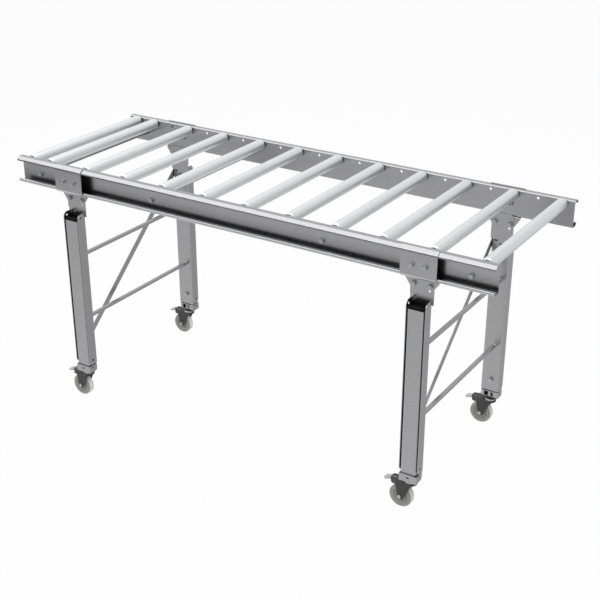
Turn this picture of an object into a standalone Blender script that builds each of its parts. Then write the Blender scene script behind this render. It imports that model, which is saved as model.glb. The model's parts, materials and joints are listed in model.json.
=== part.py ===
"""Roller table: a short gravity roller conveyor on four telescopic legs with braked swivel casters.

Metres, +Z up. X runs along the rails, Y across them, front is -Y and left is -X.
The origin lies on the floor under the middle of the table.
"""
import math

import bmesh
import bpy
from mathutils import Matrix, Vector

# Gaps between pieces that touch, and around pins that turn
SEAT_GAP = 0.0003
PIN_CLEARANCE = 0.0004

# Side rails: lipped channels with the web inside and the lips outside
RAIL_LENGTH = 1.650
RAIL_GAUGE = 0.532
RAIL_HEIGHT = 0.084
RAIL_DEPTH = 0.028
RAIL_SHEET = 0.0025
RAIL_TOP_LIP = 0.0125
RAIL_BOTTOM_LIP = 0.0105
RAIL_LIP_RADIUS = 0.0085
RAIL_WEB_RADIUS = 0.004
HOLE_PITCH = 0.075

# Rollers: steel tubes with end caps that turn on fixed axles
AXLE_DROP = 0.013
AXLE_DIAMETER = 0.008
AXLE_REACH = 0.009
ROLLER_DIAMETER = 0.035
ROLLER_WALL = 0.002
ROLLER_END_GAP = 0.006
ROLLER_CAP = 0.012

# Cross ties between the rails
TIE_DIAMETER = 0.012
TIE_DROP = 0.0513
TIE_END_INSET = 0.075
TIE_INNER_OFFSET = 0.300

# Brackets that wrap the outside of a rail and carry a leg below it
LEG_INSET = 0.215
BRACKET_SHEET = 0.002
BRACKET_WIDTH = 0.108
BRACKET_TOP_REACH = 0.004
BRACKET_FOLD_RADIUS = 0.0045
BRACKET_SHOULDER_DROP = 0.008
BRACKET_NECK_DROP = 0.0355
BRACKET_PLATE_DROP = 0.056
BRACKET_BOLT_SPACING = 0.040
BRACKET_BOLT_DROP = 0.046
BOLT_DIAMETER = 0.008

# Leg channels: folded U sections, open to the outside, with a flat head above the flanges
LEG_SHEET = 0.002
CHANNEL_WIDTH = 0.060
CHANNEL_DEPTH = 0.0383
CHANNEL_LENGTH = 0.5482
CHANNEL_FOLD_RADIUS = 0.0045
CHANNEL_TO_RAIL = 0.058
EAR_RADIUS = 0.014
FLANGE_FOOT_RADIUS = 0.010
FLANGE_HOLE_INSET = 0.017
FLANGE_HOLE_DROP = 0.0215
FLANGE_HOLE_RISE = 0.0212
HEAD_WIDTH = 0.070
HEAD_OVERLAP = 0.023
HEAD_RAIL_LAP = 0.004
HEAD_CORNER_RADIUS = 0.010
HEAD_SET_BACK = 0.0002
HEAD_BOLT_SPACING = 0.049
HEAD_BOLT_DROP = 0.026
HEAD_HOLE_OFFSET = 0.022
HEAD_HOLE_DROP = 0.041
WEB_SLOT_LENGTH = 0.012
WEB_SLOT_WIDTH = 0.005
WEB_SLOT_OFFSET = 0.017
WEB_SLOT_DROP = 0.028
WEB_HOLE_DROP = 0.039

# Leg sliders: smaller U sections inside the channels, with a boxed foot and a caster stem
SLIDE_GAP = 0.002
SLIDER_INSET = 0.002
SLIDER_HEAD_DROP = 0.032
SLIDER_FOOT_LAP = 0.016
FOOT_LAP = 0.0003
FOOT_SIDE_LAP = 0.0018
FOOT_WALL = 0.0026
FOOT_HEIGHT = 0.0245
FOOT_CHAMFER = 0.005
FOOT_SLOT_LENGTH = 0.010
FOOT_SLOT_WIDTH = 0.0045
FOOT_SLOT_RISE = 0.014
FOOT_SIDE_HOLE_DIAMETER = 0.006
FOOT_SIDE_HOLE_RISE = 0.0165
FOOT_WINDOW_RISE = 0.0068
FOOT_WINDOW_HEIGHT = 0.0152
FOOT_WINDOW_LEFT = 0.0175
FOOT_WINDOW_RIGHT = 0.0125
FOOT_WINDOW_POST = 0.0075
STEM_DIAMETER = 0.009
STEM_INSET = 0.0123
STEM_RISE = 0.020
STEM_DROP = 0.014

# Braces between the legs of a pair
BRACE_WIDTH = 0.012
BRACE_HEIGHT = 0.010
BRACE_CORNER_RADIUS = 0.0015
BRACE_OFFSET = 0.004
BRACE_UPPER_RISE = 0.3895
BRACE_LOWER_RISE = 0.166
DIAGONAL_WIDTH = 0.022
DIAGONAL_SHEET = 0.002

# Casters: wheel, fork with its axle, and brake pedal
WHEEL_DIAMETER = 0.075
WHEEL_WIDTH = 0.024
TREAD_DEPTH = 0.007
TREAD_SHOULDER = 0.003
WHEEL_DISH = 0.004
WHEEL_HUB_DIAMETER = 0.026
WHEEL_AXLE_DIAMETER = 0.008
CASTER_TRAIL = 0.027
FORK_SIDE_GAP = 0.0015
FORK_PLATE = 0.003
CROWN_CLEARANCE = 0.0055
CROWN_HEIGHT = 0.012
CHEEK_DROP = 0.0075
SHOULDER_DROP = 0.0068
FORK_FRONT = 0.007
FORK_BACK = 0.062
FORK_BACK_RADIUS = 0.008
FORK_PLATE_FRONT = 0.003
FORK_PLATE_BACK = 0.040
FORK_EYE_RADIUS = 0.009
RACE_DIAMETER = 0.039
RACE_HEIGHT = 0.004
RACE_SINK = 0.008
NECK_DIAMETER = 0.024
NECK_HEIGHT = 0.0037
WHEEL_AXLE_REACH = 0.003
PEDAL_PIN_DIAMETER = 0.005
PEDAL_PIN_BACK = 0.052
PEDAL_PIN_DROP = 0.008
PEDAL_BARREL_DIAMETER = 0.013
PEDAL_WIDTH = 0.020
PEDAL_SIDE_GAP = 0.0008
PEDAL_LENGTH = 0.036
PEDAL_FALL = 0.0075
PEDAL_TIP = 0.006
PEDAL_NOSE = 0.014
PEDAL_SLOT_FRONT = 0.044

# Shares of a neighbouring size
FORK_EYE_ROUNDING = 0.8
FORK_TOP_ROUNDING = 0.5
PEDAL_TOP_ROUNDING = 0.8
PEDAL_TIP_ROUNDING = 0.4
PEDAL_BELLY_SHARE = 0.5
PEDAL_NOSE_SHARE = 0.6
DIAGONAL_END_ROUNDING = 0.95

# Vertices this close are one, and edges sharper than this angle stay sharp
WELD_DISTANCE = 0.000001
SMOOTH_ANGLE = math.radians(35)

# Facets of round pieces
ROLLER_SEGMENTS = 16
WHEEL_SEGMENTS = 20
RACE_SEGMENTS = 16
ROD_SEGMENTS = 12
HOLE_SEGMENTS = 8
BEND_STEPS = 3

# Levels, from the floor up
AXLE_LEVEL = WHEEL_DIAMETER / 2 * math.cos(math.pi / WHEEL_SEGMENTS)
CROWN_BOTTOM = AXLE_LEVEL + WHEEL_DIAMETER / 2 + CROWN_CLEARANCE
CROWN_TOP = CROWN_BOTTOM + CROWN_HEIGHT
RACE_TOP = CROWN_TOP + RACE_HEIGHT
FOOT_BOTTOM = RACE_TOP + NECK_HEIGHT + SEAT_GAP
FOOT_TOP = FOOT_BOTTOM + FOOT_HEIGHT
CHANNEL_BOTTOM = FOOT_TOP + SEAT_GAP
CHANNEL_TOP = CHANNEL_BOTTOM + CHANNEL_LENGTH
RAIL_BOTTOM = CHANNEL_TOP + CHANNEL_TO_RAIL
RAIL_TOP = RAIL_BOTTOM + RAIL_HEIGHT
ROLLER_LEVEL = RAIL_TOP - AXLE_DROP
HEAD_TOP = RAIL_BOTTOM + HEAD_RAIL_LAP

# Distances from the middle plane of the table, outwards
WEB_INNER = RAIL_GAUGE / 2
WEB_OUTER = WEB_INNER + RAIL_SHEET
LIP_OUTER = WEB_INNER + RAIL_DEPTH
LEG_WEB_OUTER = WEB_INNER - SEAT_GAP
LEG_WEB_INNER = LEG_WEB_OUTER - LEG_SHEET
FLANGE_TIP = LEG_WEB_INNER + CHANNEL_DEPTH
FLANGE_HOLE_PLANE = FLANGE_TIP - FLANGE_HOLE_INSET
SLIDER_INNER = LEG_WEB_OUTER + SEAT_GAP
SLIDER_OUTER = FLANGE_TIP - SLIDER_INSET
STEM_PLANE = SLIDER_INNER + STEM_INSET
SLIDER_HALF = CHANNEL_WIDTH / 2 - LEG_SHEET - SLIDE_GAP

# Places along the rails
LEG_STATIONS = {"left": LEG_INSET - RAIL_LENGTH / 2, "right": RAIL_LENGTH / 2 - LEG_INSET}
SIDES = {"front": -1, "rear": 1}

# Rotations that send a drawing plane's third axis along X, Y or Z
ALONG_X = Matrix(((0, 0, 1, 0), (1, 0, 0, 0), (0, 1, 0, 0), (0, 0, 0, 1)))
ALONG_Y = Matrix(((1, 0, 0, 0), (0, 0, -1, 0), (0, 1, 0, 0), (0, 0, 0, 1)))
ALONG_Z = Matrix.Identity(4)
MIRROR_Y = Matrix.Diagonal((1, -1, 1, 1))

for stale in list(bpy.data.objects):
    bpy.data.objects.remove(stale)
PARTS = bpy.data.collections.new("roller_table")
CUTTERS = bpy.data.collections.new("cutters")
bpy.context.scene.collection.children.link(PARTS)
bpy.context.scene.collection.children.link(CUTTERS)
ROOT = bpy.data.objects.new("table_origin", None)
PARTS.objects.link(ROOT)


def finish(name, colour, roughness, metallic):
    """Make a Principled material."""
    material = bpy.data.materials.new(name)
    material.use_nodes = True
    shader = material.node_tree.nodes["Principled BSDF"]
    shader.inputs["Base Color"].default_value = (*colour, 1)
    shader.inputs["Roughness"].default_value = roughness
    shader.inputs["Metallic"].default_value = metallic
    return material


ZINC = finish("zinc_plated_sheet", (0.44, 0.44, 0.45), 0.38, 1.0)
ROLLER_ZINC = finish("zinc_plated_tube", (0.72, 0.72, 0.73), 0.30, 1.0)
STEEL = finish("steel_rod", (0.32, 0.32, 0.33), 0.45, 1.0)
BLACK = finish("black_fork", (0.035, 0.035, 0.037), 0.50, 0.0)
POLYAMIDE = finish("grey_polyamide", (0.42, 0.42, 0.42), 0.55, 0.0)
PEDAL_GREY = finish("grey_pedal", (0.55, 0.55, 0.55), 0.50, 0.0)


def fillet(corners, radii, closed):
    """Round the corners of a polyline, with an arc of BEND_STEPS chords where a radius is given."""
    points = []
    count = len(corners)
    for index, corner in enumerate(corners):
        here = Vector(corner)
        radius = radii[index]
        at_end = not closed and index in (0, count - 1)
        if at_end or radius <= 0:
            points.append(here)
            continue
        to_last = (Vector(corners[index - 1]) - here).normalized()
        to_next = (Vector(corners[(index + 1) % count]) - here).normalized()
        half_angle = to_last.angle(to_next) / 2
        middle = here + (to_last + to_next).normalized() * radius / math.sin(half_angle)
        first = here + to_last * radius / math.tan(half_angle) - middle
        last = here + to_next * radius / math.tan(half_angle) - middle
        sweep = math.atan2(first.x * last.y - first.y * last.x, first.dot(last))
        for step in range(BEND_STEPS + 1):
            turn = Matrix.Rotation(sweep * step / BEND_STEPS, 2)
            points.append(middle + turn @ first)
    return points


def folded_sheet(corners, radii, thickness):
    """Outline of a sheet folded along an open path, with its thickness to the left of the path."""
    path = [Vector(corner) for corner in corners]
    runs = [(after - before).normalized() for before, after in zip(path, path[1:])]
    lefts = [Vector((-run.y, run.x)) for run in runs]
    inner = [path[0] + lefts[0] * thickness]
    inner_radii = [0.0]
    for index in range(1, len(path) - 1):
        before, after = lefts[index - 1], lefts[index]
        inner.append(path[index] + (before + after) * thickness / (1 + before.dot(after)))
        turn = runs[index - 1].x * runs[index].y - runs[index - 1].y * runs[index].x
        inner_radii.append(radii[index] - math.copysign(thickness, turn))
    inner.append(path[-1] + lefts[-1] * thickness)
    inner_radii.append(0.0)
    return fillet(path, radii, False) + fillet(inner, inner_radii, False)[::-1]


def rectangle(low, high):
    """Corners of a rectangle."""
    return [(low[0], low[1]), (high[0], low[1]), (high[0], high[1]), (low[0], high[1])]


def circle(centre, radius, segments):
    """Corners of a regular polygon, flat on its sides."""
    angles = [2 * math.pi * (step + 0.5) / segments for step in range(segments)]
    across, level = centre
    return [(across + radius * math.cos(angle), level + radius * math.sin(angle)) for angle in angles]


def closed_mesh(mesh):
    """Weld a mesh's loose edges and point its faces outwards."""
    shape = bmesh.new()
    shape.from_mesh(mesh)
    bmesh.ops.remove_doubles(shape, verts=shape.verts, dist=WELD_DISTANCE)
    bmesh.ops.recalc_face_normals(shape, faces=shape.faces)
    shape.to_mesh(mesh)
    shape.free()
    return mesh


def evaluated_mesh(source):
    """The mesh of an object with its modifiers applied."""
    bpy.context.view_layer.update()
    graph = bpy.context.evaluated_depsgraph_get()
    return bpy.data.meshes.new_from_object(source.evaluated_get(graph))


def slab(outlines, low, high, turn):
    """Extrude closed outlines between two levels along the third axis of the drawing plane."""
    drawing = bpy.data.curves.new("outline", "CURVE")
    drawing.dimensions = "2D"
    drawing.fill_mode = "BOTH"
    drawing.extrude = (high - low) / 2
    for outline in outlines:
        spline = drawing.splines.new("POLY")
        spline.points.add(len(outline) - 1)
        for point, place in zip(spline.points, outline):
            point.co = (place[0], place[1], 0, 1)
        spline.use_cyclic_u = True
    sketch = bpy.data.objects.new("outline", drawing)
    CUTTERS.objects.link(sketch)
    mesh = evaluated_mesh(sketch)
    bpy.data.objects.remove(sketch)
    mesh.transform(turn @ Matrix.Translation((0, 0, (low + high) / 2)))
    return closed_mesh(mesh)


def rod(start, axis, length, radius, segments, turn):
    """A cylinder that starts at a point and runs along one axis."""
    shape = bmesh.new()
    place = Matrix.Translation(Vector(start) + Vector(axis) * length / 2) @ turn
    flat = Matrix.Rotation(math.pi / segments, 4, "Z")
    bmesh.ops.create_cone(
        shape,
        cap_ends=True,
        segments=segments,
        radius1=radius,
        radius2=radius,
        depth=length,
        matrix=place @ flat,
    )
    mesh = bpy.data.meshes.new("rod")
    shape.to_mesh(mesh)
    shape.free()
    return mesh


def turned(profile, segments):
    """Turn a closed profile of (radius, height) points about the Z axis, then lay the axis along Y."""
    mesh = bpy.data.meshes.new("profile")
    count = len(profile)
    edges = [(index, (index + 1) % count) for index in range(count)]
    mesh.from_pydata([(radius, 0, height) for radius, height in profile], edges, [])
    blank = bpy.data.objects.new("profile", mesh)
    CUTTERS.objects.link(blank)
    screw = blank.modifiers.new("turn", "SCREW")
    screw.steps = segments
    screw.render_steps = segments
    screw.use_merge_vertices = True
    screw.merge_threshold = WELD_DISTANCE
    result = evaluated_mesh(blank)
    bpy.data.objects.remove(blank)
    result.transform(ALONG_Y)
    return closed_mesh(result)


def combined(mesh, others, operation):
    """Join meshes to, or cut them from, a mesh with Boolean modifiers."""
    body = bpy.data.objects.new("body", mesh)
    CUTTERS.objects.link(body)
    tools = []
    for other in others:
        tool = bpy.data.objects.new("cutter", other)
        tool.hide_render = True
        tool.display_type = "WIRE"
        CUTTERS.objects.link(tool)
        tools.append(tool)
        boolean = body.modifiers.new("combine", "BOOLEAN")
        boolean.operation = operation
        boolean.solver = "EXACT"
        boolean.object = tool
    result = evaluated_mesh(body)
    for spent in [body] + tools:
        bpy.data.objects.remove(spent)
    return closed_mesh(result)


def joined(mesh, *others):
    """Unite a mesh with others."""
    return combined(mesh, others, "UNION")


def cut(mesh, *others):
    """Cut others out of a mesh."""
    return combined(mesh, others, "DIFFERENCE")


def box(low, high):
    """A block between two corners."""
    return slab([rectangle(low[:2], high[:2])], low[2], high[2], ALONG_Z)


def part(name, mesh, material, origin, parent=ROOT, smooth=False):
    """Link a mesh, drawn around the given origin, as a named part under its parent."""
    if smooth:
        mesh.shade_smooth()
        mesh.set_sharp_from_angle(angle=SMOOTH_ANGLE)
    mesh.materials.clear()
    mesh.materials.append(material)
    thing = bpy.data.objects.new(name, mesh)
    thing.parent = parent
    thing.location = Vector(origin) - parent.matrix_world.translation
    PARTS.objects.link(thing)
    bpy.context.view_layer.update()
    return thing


def on_side(mesh, side):
    """A copy of a mesh drawn with outwards as +Y, for the front or the rear of the table."""
    copy = mesh.copy()
    if side < 0:
        copy.transform(MIRROR_Y)
        copy.flip_normals()
    return copy


def hole_stations():
    """Places of the holes along a rail's web, at an even pitch about its middle."""
    count = round(RAIL_LENGTH / HOLE_PITCH)
    return [(index - (count - 1) / 2) * HOLE_PITCH for index in range(count)]


def roller_stations():
    """Places of the rollers: the first hole, and then every second one."""
    return [place for index, place in enumerate(hole_stations()) if index == 0 or index % 2 == 1]


def rail_mesh():
    """A lipped channel with a row of holes in its web, one at each roller and one between."""
    corners = [
        (LIP_OUTER, RAIL_TOP - RAIL_TOP_LIP),
        (LIP_OUTER, RAIL_TOP),
        (WEB_INNER, RAIL_TOP),
        (WEB_INNER, RAIL_BOTTOM),
        (LIP_OUTER, RAIL_BOTTOM),
        (LIP_OUTER, RAIL_BOTTOM + RAIL_BOTTOM_LIP),
    ]
    radii = [0, RAIL_LIP_RADIUS, RAIL_WEB_RADIUS, RAIL_WEB_RADIUS, RAIL_LIP_RADIUS, 0]
    section = folded_sheet(corners, radii, RAIL_SHEET)
    channel = slab([section], -RAIL_LENGTH / 2, RAIL_LENGTH / 2, ALONG_X)
    radius = AXLE_DIAMETER / 2 + PIN_CLEARANCE
    holes = [circle((place, ROLLER_LEVEL), radius, HOLE_SEGMENTS) for place in hole_stations()]
    drill = slab(holes, -WEB_OUTER - RAIL_SHEET, -WEB_INNER + RAIL_SHEET, ALONG_Y)
    return cut(channel, drill)


def roller_mesh():
    """A hollow tube with a cap in each end, and a bore through each cap for the axle."""
    outer = ROLLER_DIAMETER / 2
    bore = AXLE_DIAMETER / 2 + PIN_CLEARANCE
    end = WEB_INNER - ROLLER_END_GAP
    inside = end - ROLLER_CAP
    half = [(outer, end), (bore, end), (bore, inside), (outer - ROLLER_WALL, inside)]
    below = [(radius, -height) for radius, height in half]
    return turned([half[0]] + below + half[:0:-1], ROLLER_SEGMENTS)


def add_rails_and_rollers():
    """Two rails, their cross ties, and a roller on its own axle at each station."""
    rail = rail_mesh()
    for side_name, side in SIDES.items():
        part(f"rail_{side_name}", on_side(rail, side), ZINC, (0, 0, 0))
    inner_end = WEB_INNER - SEAT_GAP
    tie = rod((0, -inner_end, 0), (0, 1, 0), 2 * inner_end, TIE_DIAMETER / 2, ROD_SEGMENTS, ALONG_Y)
    end_tie = RAIL_LENGTH / 2 - TIE_END_INSET
    for number, place in enumerate((-end_tie, -TIE_INNER_OFFSET, TIE_INNER_OFFSET, end_tie), 1):
        part(f"cross_tie_{number}", tie.copy(), STEEL, (place, 0, RAIL_TOP - TIE_DROP), smooth=True)
    tip = WEB_OUTER + AXLE_REACH
    axle = rod((0, -tip, 0), (0, 1, 0), 2 * tip, AXLE_DIAMETER / 2, HOLE_SEGMENTS, ALONG_Y)
    roller = roller_mesh()
    for number, place in enumerate(roller_stations(), 1):
        centre = (place, 0, ROLLER_LEVEL)
        part(f"roller_axle_{number:02d}", axle.copy(), STEEL, centre, smooth=True)
        part(f"roller_{number:02d}", roller.copy(), ROLLER_ZINC, centre, smooth=True)


def bolt_pair(spacing, level):
    """Outlines of two bolt holes, side by side."""
    radius = BOLT_DIAMETER / 2 + PIN_CLEARANCE
    return [circle((place, level), radius, HOLE_SEGMENTS) for place in (-spacing / 2, spacing / 2)]


def head_holes():
    """Outlines of the holes that a bracket's plate and a leg's head share."""
    free = circle((HEAD_HOLE_OFFSET, RAIL_BOTTOM - HEAD_HOLE_DROP), BOLT_DIAMETER / 2, HOLE_SEGMENTS)
    return bolt_pair(HEAD_BOLT_SPACING, RAIL_BOTTOM - HEAD_BOLT_DROP) + [free]


def bracket_mesh():
    """A sheet folded round the outside of the rail, with a tapered plate below for the leg's head."""
    outside = LIP_OUTER + SEAT_GAP
    under = RAIL_BOTTOM - SEAT_GAP
    wrap = RAIL_LIP_RADIUS + SEAT_GAP
    plate_end = RAIL_BOTTOM - BRACKET_PLATE_DROP
    corners = [
        (LIP_OUTER - RAIL_LIP_RADIUS - BRACKET_TOP_REACH, RAIL_TOP + SEAT_GAP),
        (outside, RAIL_TOP + SEAT_GAP),
        (outside, under),
        (WEB_INNER, under),
        (WEB_INNER, plate_end),
    ]
    section = folded_sheet(corners, [0, wrap, wrap, BRACKET_FOLD_RADIUS, 0], BRACKET_SHEET)
    half = BRACKET_WIDTH / 2
    sheet = slab([section], -half, half, ALONG_X)
    past = half + BRACKET_SHEET
    low = plate_end - BRACKET_SHEET
    shoulder = RAIL_BOTTOM - BRACKET_SHOULDER_DROP
    neck = RAIL_BOTTOM - BRACKET_NECK_DROP
    narrow = HEAD_WIDTH / 2
    taper = [(past, shoulder), (half, shoulder), (narrow, neck), (narrow, low), (past, low)]
    mirrored = [(-across, level) for across, level in taper]
    plate_front = -WEB_INNER - 2 * BRACKET_SHEET
    plate_back = -WEB_INNER + BRACKET_SHEET
    trim = slab([taper, mirrored], plate_front, plate_back, ALONG_Y)
    drill = slab(head_holes(), plate_front, plate_back, ALONG_Y)
    rail_bolts = bolt_pair(BRACKET_BOLT_SPACING, RAIL_TOP - BRACKET_BOLT_DROP)
    face_drill = slab(rail_bolts, -outside - 2 * BRACKET_SHEET, -outside + BRACKET_SHEET, ALONG_Y)
    return cut(sheet, trim, drill, face_drill)


def quarter_trim(level, outward, radius):
    """Outline that rounds off the outer corner of a flange, at its top (1) or its foot (-1)."""
    spare = LEG_SHEET
    arc = fillet(
        [(FLANGE_TIP - radius, level), (FLANGE_TIP, level), (FLANGE_TIP, level - outward * radius)],
        [0, radius, 0],
        False,
    )
    past = FLANGE_TIP + spare
    beyond = level + outward * spare
    return arc + [(past, level - outward * radius), (past, beyond), (FLANGE_TIP - radius, beyond)]


def channel_mesh():
    """A leg's outer U section with rounded ears, and its flat head with the bracket's bolt holes."""
    half = CHANNEL_WIDTH / 2
    corners = [(-half, FLANGE_TIP), (-half, LEG_WEB_INNER), (half, LEG_WEB_INNER), (half, FLANGE_TIP)]
    section = folded_sheet(corners, [0, CHANNEL_FOLD_RADIUS, CHANNEL_FOLD_RADIUS, 0], LEG_SHEET)
    channel = slab([section], CHANNEL_BOTTOM, CHANNEL_TOP, ALONG_Z)
    past = half + LEG_SHEET
    ears = slab([quarter_trim(CHANNEL_TOP, 1, EAR_RADIUS)], -past, past, ALONG_X)
    feet = slab([quarter_trim(CHANNEL_BOTTOM, -1, FLANGE_FOOT_RADIUS)], -past, past, ALONG_X)
    flange_levels = (CHANNEL_TOP - FLANGE_HOLE_DROP, CHANNEL_BOTTOM + FLANGE_HOLE_RISE)
    radius = BOLT_DIAMETER / 2
    flange_holes = [circle((FLANGE_HOLE_PLANE, level), radius, HOLE_SEGMENTS) for level in flange_levels]
    side_drill = slab(flange_holes, -past, past, ALONG_X)
    head_half = HEAD_WIDTH / 2
    head_low = CHANNEL_TOP - HEAD_OVERLAP
    head_corners = rectangle((-head_half, head_low), (head_half, HEAD_TOP))
    head_outline = fillet(head_corners, [0, 0, HEAD_CORNER_RADIUS, HEAD_CORNER_RADIUS], True)
    head = slab([head_outline], HEAD_SET_BACK - LEG_WEB_OUTER, HEAD_SET_BACK - LEG_WEB_INNER, ALONG_Y)
    slot_level = CHANNEL_TOP - WEB_SLOT_DROP
    slot_half = WEB_SLOT_LENGTH / 2
    slot = rectangle(
        (-WEB_SLOT_OFFSET - slot_half, slot_level - WEB_SLOT_WIDTH / 2),
        (-WEB_SLOT_OFFSET + slot_half, slot_level + WEB_SLOT_WIDTH / 2),
    )
    web_hole = circle((0, CHANNEL_TOP - WEB_HOLE_DROP), radius, HOLE_SEGMENTS)
    web_openings = head_holes() + [slot, web_hole]
    drill = slab(web_openings, -LEG_WEB_OUTER - LEG_SHEET, -LEG_WEB_INNER + LEG_SHEET, ALONG_Y)
    return cut(joined(channel, head), ears, feet, side_drill, drill)


def slider_mesh():
    """A leg's inner U section, with the boxed foot at its lower end and the caster's stem below it."""
    corners = [
        (SLIDER_HALF, SLIDER_INNER),
        (SLIDER_HALF, SLIDER_OUTER),
        (-SLIDER_HALF, SLIDER_OUTER),
        (-SLIDER_HALF, SLIDER_INNER),
    ]
    section = folded_sheet(corners, [0, CHANNEL_FOLD_RADIUS, CHANNEL_FOLD_RADIUS, 0], LEG_SHEET)
    upright = slab([section], FOOT_TOP - SLIDER_FOOT_LAP, CHANNEL_TOP - SLIDER_HEAD_DROP, ALONG_Z)
    half = SLIDER_HALF + FOOT_SIDE_LAP
    inner = SLIDER_INNER - FOOT_LAP
    block = box((-half, inner, FOOT_BOTTOM), (half, FLANGE_TIP, FOOT_TOP))
    pocket = box(
        (-half + FOOT_WALL, inner + FOOT_WALL, FOOT_BOTTOM + FOOT_WALL),
        (half - FOOT_WALL, SLIDER_OUTER - FOOT_LAP, FOOT_TOP + FOOT_WALL),
    )
    past = half + FOOT_WALL
    heel = [
        (inner - FOOT_WALL, FOOT_BOTTOM - FOOT_WALL),
        (inner + FOOT_CHAMFER + FOOT_WALL, FOOT_BOTTOM - FOOT_WALL),
        (inner - FOOT_WALL, FOOT_BOTTOM + FOOT_CHAMFER + FOOT_WALL),
    ]
    heel_trim = slab([heel], -past, past, ALONG_X)
    stem = rod(
        (0, STEM_PLANE, FOOT_BOTTOM - STEM_DROP),
        (0, 0, 1),
        STEM_DROP + STEM_RISE,
        STEM_DIAMETER / 2,
        HOLE_SEGMENTS,
        ALONG_Z,
    )
    foot = joined(cut(block, pocket, heel_trim), stem)
    window_low = FOOT_BOTTOM + FOOT_WINDOW_RISE
    window_high = window_low + FOOT_WINDOW_HEIGHT
    post = FOOT_WINDOW_POST / 2
    left_window = rectangle((-FOOT_WINDOW_LEFT, window_low), (-post, window_high))
    right_window = rectangle((post, window_low), (FOOT_WINDOW_RIGHT, window_high))
    windows = [left_window, right_window]
    window_cut = slab(windows, -inner - FOOT_WALL - FOOT_LAP, -inner + FOOT_WALL, ALONG_Y)
    slot_level = FOOT_BOTTOM + FOOT_SLOT_RISE
    slot_corners = rectangle(
        (-FOOT_SLOT_LENGTH / 2, slot_level - FOOT_SLOT_WIDTH / 2),
        (FOOT_SLOT_LENGTH / 2, slot_level + FOOT_SLOT_WIDTH / 2),
    )
    slot_cut = slab([slot_corners], -FLANGE_TIP - FOOT_WALL, -SLIDER_OUTER + 2 * LEG_SHEET, ALONG_Y)
    side_centre = (FLANGE_HOLE_PLANE, FOOT_BOTTOM + FOOT_SIDE_HOLE_RISE)
    side_hole = circle(side_centre, FOOT_SIDE_HOLE_DIAMETER / 2, HOLE_SEGMENTS)
    side_cut = slab([side_hole], -past, past, ALONG_X)
    return cut(joined(upright, foot), window_cut, slot_cut, side_cut)


def wheel_mesh():
    """A wheel with a rounded tread, dished faces, a hub and a bore."""
    outer = WHEEL_DIAMETER / 2
    rim = outer - TREAD_DEPTH
    hub = WHEEL_HUB_DIAMETER / 2
    bore = WHEEL_AXLE_DIAMETER / 2 + PIN_CLEARANCE
    face = WHEEL_WIDTH / 2
    half = [
        (outer, face - TREAD_SHOULDER),
        (outer - TREAD_SHOULDER, face),
        (rim, face),
        (rim - WHEEL_DISH, face - WHEEL_DISH),
        (hub, face - WHEEL_DISH),
        (hub, face),
        (bore, face),
    ]
    below = [(radius, -height) for radius, height in half]
    mesh = turned([half[0]] + below + half[:0:-1], WHEEL_SEGMENTS)
    mesh.transform(Matrix.Rotation(math.pi / WHEEL_SEGMENTS, 4, "Y"))
    return mesh


def fork_mesh():
    """The black caster fork: crown, triangular side plates, swivel race, axle and pedal pin."""
    inside = WHEEL_WIDTH / 2 + FORK_SIDE_GAP
    outside = inside + FORK_PLATE
    cheek = CROWN_BOTTOM - CHEEK_DROP
    eye_low = AXLE_LEVEL - FORK_EYE_RADIUS
    corners = [
        (FORK_FRONT, CROWN_TOP),
        (-FORK_BACK, CROWN_TOP),
        (-FORK_BACK, cheek),
        (-FORK_PLATE_BACK, cheek),
        (-CASTER_TRAIL - FORK_EYE_RADIUS, eye_low),
        (-CASTER_TRAIL + FORK_EYE_RADIUS, eye_low),
        (FORK_PLATE_FRONT, CROWN_BOTTOM - SHOULDER_DROP),
        (FORK_FRONT, CROWN_BOTTOM),
    ]
    eye = FORK_EYE_RADIUS * FORK_EYE_ROUNDING
    top = FORK_BACK_RADIUS * FORK_TOP_ROUNDING
    side_outline = fillet(corners, [0, top, FORK_BACK_RADIUS, 0, eye, eye, 0, 0], True)
    plates = slab([side_outline], -outside, outside, ALONG_Y)
    past = WHEEL_DIAMETER
    wheel_slot = box((-past - FORK_BACK, -inside, -past), (past, inside, CROWN_BOTTOM))
    pedal_half = PEDAL_WIDTH / 2 + PEDAL_SIDE_GAP
    slot_end = (-PEDAL_SLOT_FRONT, pedal_half, CROWN_TOP + past)
    pedal_slot = box((-past - FORK_BACK, -pedal_half, cheek), slot_end)
    up = (0, 0, 1)
    race_low = CROWN_TOP - RACE_SINK
    race_rise = RACE_TOP - race_low
    race = rod((0, 0, race_low), up, race_rise, RACE_DIAMETER / 2, RACE_SEGMENTS, ALONG_Z)
    neck = rod((0, 0, race_low), up, race_rise + NECK_HEIGHT, NECK_DIAMETER / 2, HOLE_SEGMENTS, ALONG_Z)
    bore_radius = STEM_DIAMETER / 2 + PIN_CLEARANCE
    bore = rod((0, 0, CROWN_BOTTOM - past), up, 2 * past, bore_radius, HOLE_SEGMENTS, ALONG_Z)
    across = (0, 1, 0)
    axle_start = (-CASTER_TRAIL, -outside - WHEEL_AXLE_REACH, AXLE_LEVEL)
    axle = rod(axle_start, across, -2 * axle_start[1], WHEEL_AXLE_DIAMETER / 2, HOLE_SEGMENTS, ALONG_Y)
    pin_start = (-PEDAL_PIN_BACK, -outside + FORK_PLATE / 2, CROWN_TOP - PEDAL_PIN_DROP)
    pin = rod(pin_start, across, -2 * pin_start[1], PEDAL_PIN_DIAMETER / 2, HOLE_SEGMENTS, ALONG_Y)
    body = cut(plates, wheel_slot, pedal_slot)
    return joined(cut(joined(body, race, neck), bore), axle, pin)


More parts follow.
